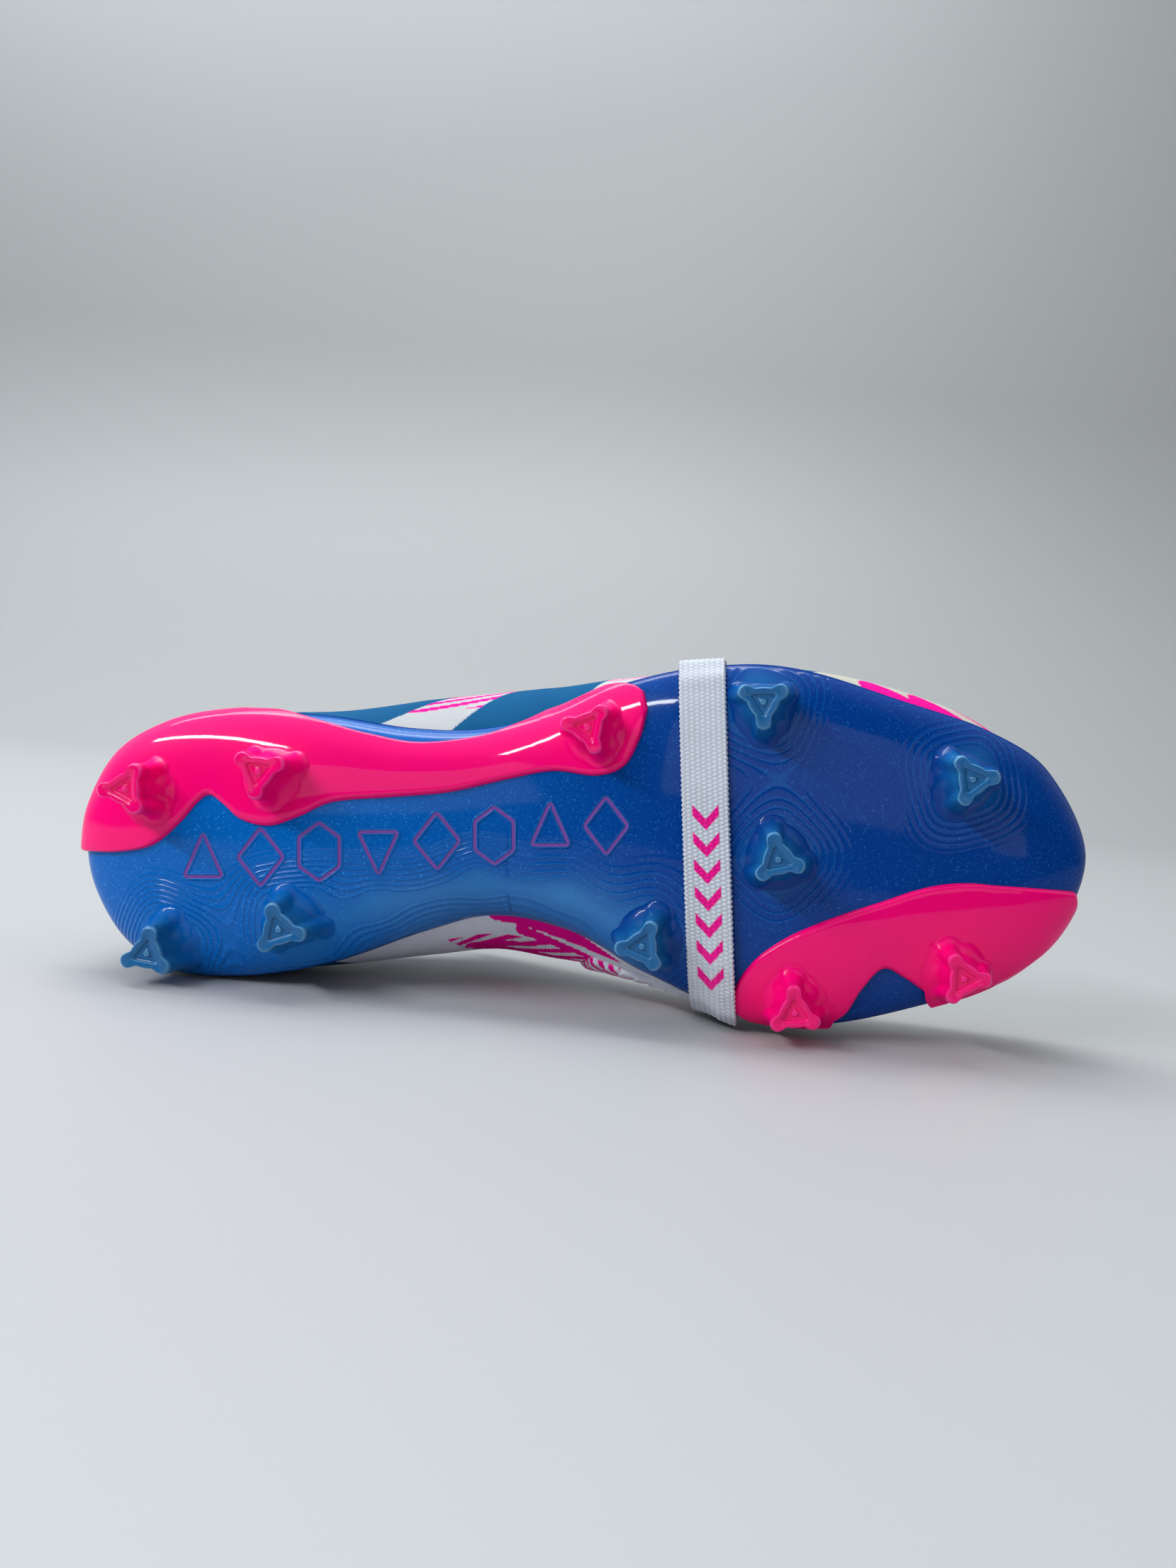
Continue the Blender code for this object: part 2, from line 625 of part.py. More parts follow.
def build_eyestay(name, side, material, parent):
    """Facing along the throat, with a row of lace eyelets through it."""
    over = UPPER_HALF + LAYER_GAP
    stations = [side * station for station in spread(*EYESTAY_STATIONS, 8)]
    item = upper_patch(name, stations, EYESTAY_HEIGHTS, over, over + EYESTAY_THICKNESS, material,
                       parent)
    holes, faces = [], []
    sides = 10
    for k in range(EYELETS):
        station = side * (FIRST_EYELET + EYELET_PITCH * k)
        centre = upper_offset(station, EYELET_HEIGHT, over + 0.5 * EYESTAY_THICKNESS)
        axis = upper_normal(station, EYELET_HEIGHT)
        across = np.cross(axis, (1.0, 0.0, 0.0))
        across /= np.linalg.norm(across)
        along = np.cross(axis, across)
        start = len(holes)
        for end in (-EYELET_CUT, EYELET_CUT):
            for i in range(sides):
                angle = 2 * math.pi * i / sides
                rim = math.cos(angle) * across + math.sin(angle) * along
                holes.append(centre + axis * end + rim * EYELET_RADIUS)
        low = [start + i for i in range(sides)]
        high = [start + sides + i for i in range(sides)]
        faces.append(tuple(low))
        faces.append(tuple(high))
        for i in range(sides):
            j = (i + 1) % sides
            faces.append((low[i], low[j], high[j], high[i]))
    cut(item, add_object(name + "_holes", holes, faces, material, parent))
    return item


def station_at(x, side, t):
    """Station whose upper profile passes the given x at height t."""
    low, high = 4.0, float(LAST)
    for _ in range(40):
        middle = 0.5 * (low + high)
        if upper_point(side * middle, t)[0] < x:
            low = middle
        else:
            high = middle
    return side * 0.5 * (low + high)


def surface_tree():
    """Search tree of the upper's outer face, for laying the flap on it."""
    stations = spread(0.0, float(LOOP), 120)
    heights = spread(0.1, 1.0, 24)
    points, faces = [], []
    for s in stations:
        for t in heights:
            points.append(Vector(upper_offset(s, t, UPPER_HALF)))
    width = len(heights)
    for i in range(len(stations) - 1):
        for j in range(width - 1):
            a = i * width + j
            faces.append((a, a + 1, a + width + 1, a + width))
    return BVHTree.FromPolygons(points, faces)


def draped_height(tree, x, ys):
    """Height over the upper at each y, bridging hollows such as the open throat."""
    hits = []
    for y in spread(-34.0, 34.0, 34):
        found = tree.ray_cast(Vector((x, y, 200.0)), Vector((0, 0, -1)))[0]
        if found is not None:
            hits.append((y, found.z))
    hull = []
    for y, z in hits:
        while len(hull) > 1:
            (ay, az), (by, bz) = hull[-2], hull[-1]
            if (by - ay) * (z - az) - (bz - az) * (y - ay) < 0:
                break
            hull.pop()
        hull.append((y, z))
    return np.interp(ys, [p[0] for p in hull], [p[1] for p in hull])


def flap_half_width(x):
    """Half width of the flap: straight sides, then a round front end."""
    half = FLAP_HALF_WIDTH - FLAP_TAPER * max(FLAP_STRAIGHT - x, 0.0)
    left = max(FLAP_REACH - x, 0.0)
    radius = FLAP_REACH - FLAP_STRAIGHT
    if left >= radius:
        return half
    return half * max(math.sqrt(1 - (1 - left / radius) ** 2), FLAP_TIP_SHARE)


def flap_rows():
    """Rows of points across the underside of the flap, from the fold to its free end."""
    tree = surface_tree()
    shares = np.array(spread(-1.0, 1.0, 10))
    rows = []
    for x in spread(FLAP_START, FLAP_REACH, 14):
        ys = shares * flap_half_width(x)
        zs = draped_height(tree, max(x, INSTEP_CREST), ys)
        zs = zs + max(INSTEP_CREST - x, 0.0) * FLAP_REAR_SLOPE
        rows.append([np.array((x, y, z)) for y, z in zip(ys, zs)])
    lifts = np.interp([row[0][0] for row in rows], FLAP_LIFT_X, FLAP_LIFT)
    return list(offset_rows(rows, lifts[:, None, None]))


def offset_rows(rows, distance):
    """The same grid moved along its own upward normals."""
    grid = np.array(rows)
    along = np.gradient(grid, axis=0)
    across = np.gradient(grid, axis=1)
    normal = np.cross(along, across)
    normal /= np.linalg.norm(normal, axis=2, keepdims=True)
    if normal[..., 2].mean() < 0:
        normal = -normal
    return grid + normal * distance


def build_flap(hinge, material):
    rows = flap_rows()
    top = offset_rows(rows, FLAP_THICKNESS)
    return add_object("tongue_flap", *sheet_solid(list(top), rows), material, hinge)


def tongue_rows(depth):
    """One face of the tongue: under both throat edges, slightly domed between them."""
    rows = []
    for x in spread(INSTEP_CREST - 1.0, 158.0, 7):
        tucked = np.interp(x, TONGUE_TUCK_X, TONGUE_TUCK)
        heights = spread(tucked, 0.97, 2)
        medial, lateral = ([upper_offset(station_at(x, side, t), t, -depth) for t in heights]
                           for side in (1, -1))
        middle = 0.5 * (medial[-1] + lateral[-1]) + np.array((0, 0, TONGUE_DOME))
        rows.append(medial + [middle] + lateral[::-1])
    fold = [np.array((TONGUE_TOP[0], p[1] * TONGUE_NECK, TONGUE_TOP[1] - depth - 0.12 * abs(p[1])))
            for p in rows[0]]
    return [fold] + rows


def build_tongue(parent, material):
    """Padded tongue under the throat, up to the fold above the ankle."""
    depth = UPPER_HALF + TONGUE_GAP
    top, bottom = tongue_rows(depth), tongue_rows(depth + TONGUE_THICKNESS)
    return add_object("tongue", *sheet_solid(top, bottom), material, parent)


def band_outline(x, flap_top):
    """Widest reach of everything the band goes round, near one x."""
    samples = []
    for near in (x - 2.0, x, x + 2.0):
        for y in spread(-52.0, 52.0, 40):
            cover = FRAME_GAP + FRAME_THICKNESS if y > 30.0 and near > 178.0 else 0.0
            samples.append(sole_surface(near, y, cover))
        for t in spread(0.0, 1.0, 32):
            cover = STRIKE_TOP if STRIKE_SPAN[0] < t < STRIKE_SPAN[1] else UPPER_HALF
            samples.append(upper_offset(station_at(near, 1, t), t, cover))
            samples.append(upper_offset(station_at(near, -1, t), t, UPPER_HALF))
    for row in flap_top:
        if abs(row[0][0] - x) < 9:
            samples.extend(row)
    return convex_hull([(p[1], p[2]) for p in samples])


def convex_hull(points):
    points = sorted(set((round(a, 4), round(b, 4)) for a, b in points))

    def half(sequence):
        chain = []
        for p in sequence:
            while len(chain) > 1:
                (ax, ay), (bx, by) = chain[-2], chain[-1]
                if (bx - ax) * (p[1] - ay) - (by - ay) * (p[0] - ax) > 0:
                    break
                chain.pop()
            chain.append(p)
        return chain[:-1]

    return half(points) + half(points[::-1])


def hull_reach(hull, angle):
    """Distance from the band's centre to the hull along an angle."""
    ray = (math.cos(angle), math.sin(angle))
    best = 0.0
    count = len(hull)
    for i in range(count):
        ax, az = hull[i][0], hull[i][1] - BAND_CENTRE_Z
        bx, bz = hull[(i + 1) % count][0], hull[(i + 1) % count][1] - BAND_CENTRE_Z
        ex, ez = bx - ax, bz - az
        spread_by = ray[0] * ez - ray[1] * ex
        if abs(spread_by) < 1e-9:
            continue
        distance = (ax * ez - az * ex) / spread_by
        along = (ax * ray[1] - az * ray[0]) / spread_by
        if distance > 0 and -1e-6 <= along <= 1 + 1e-6:
            best = max(best, distance)
    return best


def build_band(flap_top, parent, material):
    rings_in, rings_out = [], []
    places = (-1.0, -0.33, 0.33, 1.0)
    for place in places:
        x = BAND_X + place * BAND_HALF_WIDTH
        hull = band_outline(x, flap_top)
        ring_in, ring_out = [], []
        for k in range(BAND_SIDES):
            angle = 2 * math.pi * k / BAND_SIDES
            reach = hull_reach(hull, angle) + BAND_CLEARANCE
            for ring, extra in ((ring_in, 0.0), (ring_out, BAND_THICKNESS)):
                y = math.cos(angle) * (reach + extra)
                z = BAND_CENTRE_Z + math.sin(angle) * (reach + extra)
                ring.append(np.array((x + BAND_SLANT * y, y, z)))
        rings_in.append(ring_in)
        rings_out.append(ring_out)
    loop = rings_in + rings_out[::-1]
    points = [p for ring in loop for p in ring]
    faces = []
    for k in range(len(loop)):
        after = (k + 1) % len(loop)
        for i in range(BAND_SIDES):
            j = (i + 1) % BAND_SIDES
            faces.append((k * BAND_SIDES + i, k * BAND_SIDES + j,
                          after * BAND_SIDES + j, after * BAND_SIDES + i))
    return add_object("elastic_band", points, faces, material, parent)


# ---------------------------------------------------------------- assembly

def make_frames():
    """The empty that lays the boot on its side, and the flap's hinge empty under it."""
    lying = bpy.data.objects.new("lying_frame", None)
    bpy.context.collection.objects.link(lying)
    upright = Euler((ON_ITS_SIDE, 0.0, 0.0)).to_matrix()
    turn = Matrix.Rotation(SWING, 3, "Y") @ Matrix.Rotation(LEAN, 3, "X")
    lying.rotation_euler = (turn @ upright).to_euler()
    hinge = bpy.data.objects.new("flap_hinge", None)
    bpy.context.collection.objects.link(hinge)
    hinge.parent = lying
    hinge.location = Vector((TONGUE_TOP[0], 0.0, TONGUE_TOP[1])) * MM
    hinge["upright_origin"] = (TONGUE_TOP[0], 0.0, TONGUE_TOP[1])
    return lying, hinge


def stand_on_ground(lying):
    """Moves the boot so that the middle of its footprint is at the origin, on z = 0."""
    bpy.context.view_layer.update()
    graph = bpy.context.evaluated_depsgraph_get()
    corners = []
    for item in bpy.data.objects:
        if item.type == "MESH" and not item.hide_render:
            mesh = item.evaluated_get(graph).to_mesh()
            corners.extend(item.matrix_world @ vertex.co for vertex in mesh.vertices)
    corners = np.array(corners)
    low, high = corners.min(axis=0), corners.max(axis=0)
    lying.location = (-0.5 * (low[0] + high[0]), -0.5 * (low[1] + high[1]), -low[2])


def main():
    clear_scene()
    gloss = {"plate_blue": 0.3, "frame_pink": 0.15, "tip_blue": 0.3, "tip_pink": 0.2,
             "rubber_pink": 0.4}
    materials = {name: make_material(name, gloss.get(name, 0.7)) for name in COLOURS}
    lying, hinge = make_frames()
    carriers = {
        "plate": build_plate(lying, materials["plate_blue"]),
        "heel": build_frame("heel_frame", HEEL_FRAME, materials["frame_pink"], lying),
        "forefoot": build_frame("forefoot_frame", FOREFOOT_FRAME, materials["frame_pink"], lying),
    }
    build_studs(carriers, materials, lying)
    board_lift = PLATE_THICKNESS + GAP
    build_board("lasting_board", board_lift, BOARD_THICKNESS, BOARD_INSET, BOARD_LIMIT,
                materials["board_grey"], lying)
    build_board("sockliner", board_lift + BOARD_THICKNESS + GAP, SOCKLINER_THICKNESS,
                SOCKLINER_INSET, SOCKLINER_LIMIT, materials["foam_blue"], lying)
    build_upper(materials, lying)
    build_eyestay("medial_eyestay", 1, materials["upper_white"], lying)
    build_eyestay("lateral_eyestay", -1, materials["upper_teal"], lying)
    build_tongue(lying, materials["lining_grey"])
    build_flap(hinge, materials["upper_teal"])
    rows = flap_rows()
    build_band(list(offset_rows(rows, FLAP_THICKNESS)), lying, materials["band_white"])
    stand_on_ground(lying)


main()
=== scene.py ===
"""Looks of the soccer boot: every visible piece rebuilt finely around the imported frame.

The boot is shaped in the same upright millimetre coordinates as its CAD model: x from the heel to
the toe, y towards the inner (medial) side and z up from the ground plane of the studs. place()
turns those points into the row frame, where the boot lies on its inner side.
"""
import json
import math

import bmesh
import bpy
import numpy as np
from mathutils import Euler, Matrix, Vector
from mathutils.bvhtree import BVHTree


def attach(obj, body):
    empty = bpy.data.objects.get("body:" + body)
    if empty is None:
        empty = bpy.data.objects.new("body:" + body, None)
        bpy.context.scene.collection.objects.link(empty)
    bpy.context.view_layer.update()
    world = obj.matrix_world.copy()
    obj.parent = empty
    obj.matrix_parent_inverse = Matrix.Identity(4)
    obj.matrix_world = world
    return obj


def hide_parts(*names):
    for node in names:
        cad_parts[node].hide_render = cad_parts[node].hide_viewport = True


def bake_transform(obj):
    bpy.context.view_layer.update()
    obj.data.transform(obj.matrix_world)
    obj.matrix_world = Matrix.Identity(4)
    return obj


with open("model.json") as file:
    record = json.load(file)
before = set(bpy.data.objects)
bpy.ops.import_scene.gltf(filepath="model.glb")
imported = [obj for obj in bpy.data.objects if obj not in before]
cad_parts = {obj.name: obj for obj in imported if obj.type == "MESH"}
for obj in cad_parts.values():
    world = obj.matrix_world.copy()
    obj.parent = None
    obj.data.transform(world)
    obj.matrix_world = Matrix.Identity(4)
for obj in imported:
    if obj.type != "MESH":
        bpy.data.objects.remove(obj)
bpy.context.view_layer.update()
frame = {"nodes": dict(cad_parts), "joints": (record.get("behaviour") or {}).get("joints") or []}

MM = 0.001
ON_ITS_SIDE = math.radians(-90.0)
LEAN = math.radians(-1.61)
SWING = math.radians(-5.62)
FLAP_FOLD = np.array((84.0, 0.0, 103.0))    # upright place of the flap's hinge

# Sole outline. Each row: medial edge x, y; lateral edge x, y; spine x; rim height over the spine.
SOLE_STATIONS = [
    (0.0, 0.5, 0.0, 0.5, 33.0, 12.0),
    (3.0, 14.0, 2.5, -13.0, 34.0, 12.0),
    (12.0, 27.5, 11.0, -26.5, 36.0, 12.0),
    (27.0, 35.5, 26.0, -34.5, 41.0, 12.5),
    (46.0, 37.3, 46.0, -37.5, 51.0, 13.0),
    (70.0, 33.5, 68.0, -36.5, 69.0, 14.0),
    (94.0, 25.5, 90.0, -33.2, 91.0, 14.5),
    (114.0, 21.0, 110.0, -33.0, 112.0, 14.5),
    (136.0, 25.2, 131.0, -37.5, 133.0, 13.0),
    (157.0, 35.6, 151.0, -45.5, 154.0, 11.0),
    (182.0, 47.0, 176.0, -50.3, 178.0, 10.0),
    (207.0, 50.5, 202.0, -49.2, 203.0, 9.5),
    (234.0, 46.0, 230.0, -40.8, 228.0, 9.0),
    (256.0, 39.5, 256.0, -32.0, 243.0, 8.0),
    (274.0, 28.5, 274.0, -20.0, 250.0, 7.5),
    (285.0, 4.25, 285.0, 4.25, 253.0, 7.0),
]
LAST = len(SOLE_STATIONS) - 1
LOOP = 2 * LAST             # stations once round: heel 0, medial 0..LAST, toe LAST, lateral back
PLATE_ARCH = [(0, 15), (30, 12.5), (60, 12.5), (90, 15.5), (115, 18), (140, 17), (170, 13.5),
              (200, 12), (225, 13), (250, 16.5), (270, 20.5), (285, 25)]
SECTION_POWER = 2.8         # superellipse of the sole's cross-section
PLATE_WALL = 1.0
PLATE_GRID = (26, 46, 22)   # rows per station, columns over the flat and down the side
PLATE_SIDE = 0.88           # share of the way out at which the side begins
SWELL = 1.5                 # how far the plate swells out under a blue stud, and how widely
SWELL_REACH = 9.0
HEEL_FADE = (60.0, 180.0)   # x over which the paler heel blue, partly painted reflection of the window light, gives way to the deep toe blue
CONTOUR_SOFTNESS = 4.2
CONTOUR_PITCH = (1.35, 1.9)     # behind and in front of the middle of the waist
CONTOUR_MIDDLE = 120.0
WAIST_FLOW = [(60.0, 25.5), (84.0, 17.0), (112.0, 10.5), (136.0, 14.0), (159.0, 25.5)]

SPINE_STEPS_PER_STATION = 20
BISECTIONS = 34
STEP = 0.02                 # in station and q or t, for the slopes that give a normal
RIM_STEP = 0.05
NORMAL_Q = (0.05, 0.97)     # q between which the plate's normal is taken
WELD = 2e-6                 # metres
PLATE_WELD = 6e-5           # also tidies the slivers at both ends of the spine

# Upper. Each row: throat edge x, y, z; how far the side leans out low down, medial and lateral;
# how far it rises there; and the offset of the upper control point from the throat edge.
FEATHER_INSET = 3.4
FEATHER_LEAN_SHARE = 0.16
FEATHER_DROP = 3.0
UPPER_STATIONS = [
    (9, 0, 80, 6, 6, 19, -8, 0, -18),
    (11, 8, 79.5, 6, 6, 19, -7, 4, -18),
    (18, 17, 77.5, 7, 7, 19, -5, 8, -18),
    (28, 23, 74.5, 8, 8, 19, -3, 10, -16),
    (43, 27, 72, 8, 8, 18, -1, 11, -15),
    (64, 27.5, 76, 12, 12, 18, 0, 12, -14),
    (84, 22, 89, 24, 31, 18, 1, 17, -14),
    (102, 16, 92.5, 33, 41, 18, 2, 20, -10),
    (120, 14, 84, 35, 38, 19, 3, 21, -8),
    (138, 13, 76, 24, 25, 20, 6, 21, -7),
    (154, 11, 69, 16, 14, 21, 12, 22, -6),
    (165, 8, 64.5, 17, 25, 23, 22, 20, -4),
    (171, 5, 62, 17, 37, 25, 34, 16, -2),
    (174, 3, 61, 18, 34, 26, 46, 10, 0),
    (175.5, 1.5, 60.6, 18, 18, 26, 56, 5, 1),
    (176, 0, 60.5, 18, 18, 26, 60, 0, 1),
]
UPPER_HALF = 0.6            # half the thickness
HEEL_SEAM = 4.5             # stations of the seams between the upper's panels
TOE_SEAM = 10.2
SEAM_GAP = 0.004
PANEL_ROWS = 150
TOE_LINE = (196.0, 60.0)    # x of a colour's edge at the sole, and how far it leans forward
HEEL_LINE = (60.0, 30.0)
STREAK_REACH = 60.0         # mm of height that t stands for in a streak
# Printed streaks: start x, t; end x, t; half width at the start.
MEDIAL_STREAKS = [
    ((88, 0.08), (108, 0.06), 2.2), ((114, 0.07), (150, 0.16), 3.4), ((120, 0.16), (158, 0.26), 1.6),
    ((104, 0.30), (124, 0.24), 2.4), ((108, 0.36), (138, 0.30), 2.4), ((140, 0.30), (172, 0.34), 2.6),
    ((70, 0.12), (88, 0.10), 1.6),
]
TOE_STREAKS = [
    ((210, 0.10), (232, 0.03), 2.4), ((222, 0.16), (246, 0.05), 3.0), ((236, 0.16), (258, 0.06), 2.6),
    ((248, 0.22), (268, 0.10), 2.2),
]

# Raised rubber fins on the inner side of the forefoot.
STRIKE_STATIONS = (8.4, 12.2)
STRIKE_HEIGHTS = (0.2, 0.62)
STRIKE_GRID = (340, 150)
STRIKE_ROUND = 2.5          # radius of its edge
STATION_MM = 18.0           # about how far one station and the whole of t go there, mm
THROAT_MM = 80.0
STRIKE_RISE = 1.5
STRIKE_SHELL = 0.5
FIN_PITCH = 4.6
FIN_RISE = 0.55

# Studs: name, x, y, angle of one lobe (degrees, from the toe towards medial), carrier.
STUDS = [
    ("heel_lateral_rear", 22.0, -15.4, 178, "heel"),
    ("heel_lateral_front", 57.4, -20.0, 98, "heel"),
    ("midfoot_lateral", 144.4, -31.8, 70, "heel"),
    ("heel_medial_rear", 27.0, 27.7, 160, "plate"),
    ("heel_medial_front", 62.4, 21.4, 13, "plate"),
    ("midfoot_medial", 159.3, 26.2, -65, "plate"),
    ("forefoot_lateral_rear", 191.5, -38.5, 89, "plate"),
    ("forefoot_lateral_front", 247.4, -18.0, -6, "plate"),
    ("forefoot_centre", 195.4, 3.0, -102, "plate"),
    ("forefoot_medial_rear", 199.9, 43.6, -93, "forefoot"),
    ("forefoot_medial_front", 245.2, 35.1, -117, "forefoot"),
]
STUD_HEIGHT = 12.5
TIP_HEIGHT = 3.4
LOBE_REACH = 7.7            # outline of a stud's end: how far its lobes and its sides reach
LOBE_ROUND = 2.4
SIDE_REACH = 4.1
POST_FOOT_RADIUS = {"plate": 12.0, "heel": 10.0, "forefoot": 11.0}
SIDE_HOLLOW = 0.6
THIRD = 2 * math.pi / 3
LOBE_BLEND = (math.radians(13.0), math.radians(34.0))
BLUNT_CORNER = 1.72
AXIS_LEAN = 0.15            # share of the plate's own normal in a stud's direction
FOOT_SINK = 0.1             # how far a post's foot starts inside its carrier
POST_FOOT_LIMIT = 0.88
STUD_SIDES = 72
POST_STEPS = 22

# Profile of a stud's end: share of its outline, height over its start in mm, and which outline:
# 0 the lobes, 1 the pocket's triangle, 2 the round nub in it. The last number is a painted highlight
# on its edges.
TIP_PROFILE = [(0.99, -0.3, 0, 0.0), (1.0, 0.4, 0, 0.0), (0.995, 1.6, 0, 0.0),
               (0.985, 2.4, 0, 0.1), (0.965, 2.9, 0, 0.5), (0.93, 3.25, 0, 0.9),
               (0.90, 3.4, 0, 0.5), (0.86, 3.4, 0, 0.05), (1.0, 3.36, 1, 0.05),
               (0.96, 3.25, 1, 0.7), (0.90, 2.9, 1, 0.1), (0.84, 2.7, 1, 0.0),
               (0.55, 2.65, 1, 0.0), (1.0, 2.7, 2, 0.0), (0.9, 3.0, 2, 0.5), (0.55, 3.1, 2, 0.8),
               (0.2, 3.0, 2, 0.1)]
POCKET_SIDE = 2.35
NUB_RADIUS = 0.85

# Outlined marks moulded into the waist: plain polygons, each given by its corner count.
MARKS = 8
FIRST_MARK = (38.0, 4.4)
MARK_STEP = (15.7, -1.4)
MARK_SIDES = (3, 4, 6)
MARK_REACH = (6.2, 8.0)
MARK_LINE = 0.7             # half the width of a mark's line
LIP_FROST = 0.12            # pale frost on the lips, round the blue studs and along the waist; round the studs and along the waist it is partly painted highlight
STUD_FROST_AND_HIGHLIGHT = 0.42
WAIST_FROST_AND_HIGHLIGHT = 0.34

# Raised frames: pairs of points on their inner and outer edges.
FRAME_TOP = 1.75            # over the plate
FRAME_ROUND = 1.5           # radius of its rounded edge
FRAME_CROWN = 0.45          # how much higher it is along its middle
FRAME_SINK = 0.3            # how deep its edge starts in the plate
FRAME_Q_LIMIT = 0.965
FRAME_GRID = (14, 44)       # rows per pair of points, and columns
HEEL_FRAME = [
    (3, 1.8, 0, 1), (14, 1.7, 2.5, -13), (24, -0.3, 11, -26.5), (31.5, -6.3, 24, -33.7),
    (36.5, -12, 35, -36.7), (39.8, -13.9, 42, -37.4), (44, -11, 50, -37.4), (48.5, -7.2, 57, -37),
    (56, -5.5, 64, -35.5), (64, -8, 72, -33.4), (73, -12, 81, -31), (88, -13.3, 95, -28.6),
    (104, -14.7, 111, -30.2), (120, -18.3, 124, -34.5), (133, -20.6, 135, -39.4),
    (145, -19.3, 144, -43.2), (153, -22, 151, -45), (157.5, -30, 155.5, -44.6),
    (159.5, -38, 158.3, -42.8),
]
FOREFOOT_FRAME = [
    (182.3, 44, 183.5, 46), (184.5, 37.5, 188, 48.5), (190, 30.5, 197, 50), (198, 25, 207, 50),
    (207, 21, 214, 47), (216, 17.8, 218.5, 40), (225, 15, 224.5, 34), (233, 12.4, 231, 37),
    (241, 10.8, 238.5, 42), (249, 10.5, 246.5, 43.3), (257, 11.3, 256.5, 39.4), (265, 12, 265.5, 34.5),
    (273, 12.8, 273.5, 28.6), (280.5, 13.7, 280.8, 19.6),
]

BAND_X = 176.0
BAND_HALF_WIDTH = 6.5
BAND_SLANT = 0.03
BAND_CENTRE_Z = 38.0
BAND_RIB = 1.15             # pitch of the ribs along the band
BAND_THREAD = 1.5
BAND_THICKNESS = 0.8
BAND_KNOTS = 112
BAND_GRID = (1400, 53)
RIB_HEIGHT = 0.12
THREAD_HEIGHT = 0.07
RIM_WAVE = 0.16             # how far the edge's loops stand out
RIM_PITCH = 1.4
CHEVRON_PITCH = 7.4
CHEVRON_STROKE = 3.0
CHEVRON_REACH = 3.6         # half its width

SWEEP = (6.0, -0.7, 1.2, 0.8, 3.0)      # metres: width, front, back, bend radius, wall height
SWEEP_STEPS = 24
VIEW_POINT = (189.0, -17.0, -318.0)     # upright mm, in front of the sole
FOCAL_SHARE = 0.768535                  # focal length over the picture's height
SENSOR = 36.0
VIEW_SHIFT = -0.106


def srgb(red, green, blue):
    """Linear colour from display values of 0 to 255."""
    shares = (np.array((red, green, blue)) / 255.0) ** 2.2
    return tuple(float(value) for value in shares)

PLATE_HEEL_BLUE_AND_REFLECTION = srgb(0, 98, 182)
PLATE_DEEP = srgb(0, 60, 136)
SHADED_WALL_BLUE = srgb(0, 52, 122)
FROST_AND_HIGHLIGHT_BLUE = srgb(40, 124, 186)
PINK = srgb(255, 0, 118)
PINK_DEEP = srgb(232, 0, 100)
PRINT_PINK = srgb(255, 8, 150)
TIP_BLUE = srgb(30, 100, 156)
RIM_HIGHLIGHT_BLUE = srgb(92, 148, 184)
TIP_PINK = srgb(255, 10, 116)
RIM_HIGHLIGHT_PINK = srgb(255, 58, 146)
UPPER_WHITE = srgb(236, 238, 250)
UPPER_CREAM = srgb(198, 196, 182)
UPPER_GREY = srgb(190, 193, 195)
UPPER_TEAL = srgb(6, 88, 134)
COLLAR_BLUE = srgb(20, 60, 110)
LINING_GREY = srgb(150, 156, 164)
BAND_WHITE = srgb(216, 222, 232)
LINE_PURPLE = srgb(118, 66, 158)
FLOOR_COLOUR = srgb(174, 176, 176)
ROOM_DARK = srgb(22, 24, 30)
ROOM_LIGHT = srgb(222, 227, 236)
SPARKLE_BLUE = srgb(80, 170, 245)
RIDGE_HIGHLIGHT_BLUE = srgb(30, 125, 205)
BOARD_GREY = srgb(176, 170, 160)
STIFF_CREAM = srgb(200, 196, 182)

# Finishes. Depths are in metres.
PLATE_COAT = 0.32
PLATE_SPECULAR = 0.04
RIDGE_DEPTH = 0.00006
GRAIN_DEPTH = 0.0002
SCALE_DEPTH = 0.0006
STITCH_DEPTH = 0.00015
MILKY = {"Subsurface_Weight": 0.35, "Subsurface_Scale": 0.003, "Subsurface_Radius": (1.0, 0.8, 1.0)}


# ---- curves and surfaces


def spline(rows, position, closed=False):
    """Smooth curve through rows at real-valued stations."""
    rows = np.asarray(rows, float)
    position = np.asarray(position, float)
    count = len(rows)
    base = np.floor(position).astype(int)
    if closed:
        a, b, c, d = (rows[(base + k) % count] for k in (-1, 0, 1, 2))
    else:
        base = np.clip(base, 0, count - 2)
        ends = np.vstack((2 * rows[:1] - rows[1:2], rows, 2 * rows[-1:] - rows[-2:-1]))
        a, b, c, d = (ends[base + k] for k in range(4))
    part = (position - base)[..., None]
    return b + 0.5 * part * ((c - a) + part * ((2 * a - 5 * b + 4 * c - d)
                                               + part * (3 * (b - c) + d - a)))


def mirrored_loop(values):
    """Closed list of stations from the medial rows followed by the lateral ones."""
    medial = [values(row, 1) for row in range(LAST + 1)]
    lateral = [values(row, -1) for row in range(LAST - 1, 0, -1)]
    return np.array(medial + lateral, float)


def sole_row(row, side):
    data = SOLE_STATIONS[row]
    x, y = (data[0], data[1]) if side > 0 else (data[2], data[3])
    return (x, y, data[4], 0.5 * (data[1] + data[3]), data[5])


def upper_row(row, side):
    x, y, z, low_medial, low_lateral, rise, ox, oy, oz = UPPER_STATIONS[row]
    low = low_medial if side > 0 else low_lateral
    return (x, side * y, z, low, rise, ox, side * oy, oz)

SOLE_LOOP = mirrored_loop(sole_row)
UPPER_LOOP = mirrored_loop(upper_row)


def spine_table():
    """Stations along the spine and the x they stand at, for finding one from the other."""
    stations = np.arange(LAST * SPINE_STEPS_PER_STATION + 1) / SPINE_STEPS_PER_STATION
    return stations, spline(SOLE_LOOP, stations, True)[:, 2]


SPINE_STATIONS, SPINE_X = spine_table()


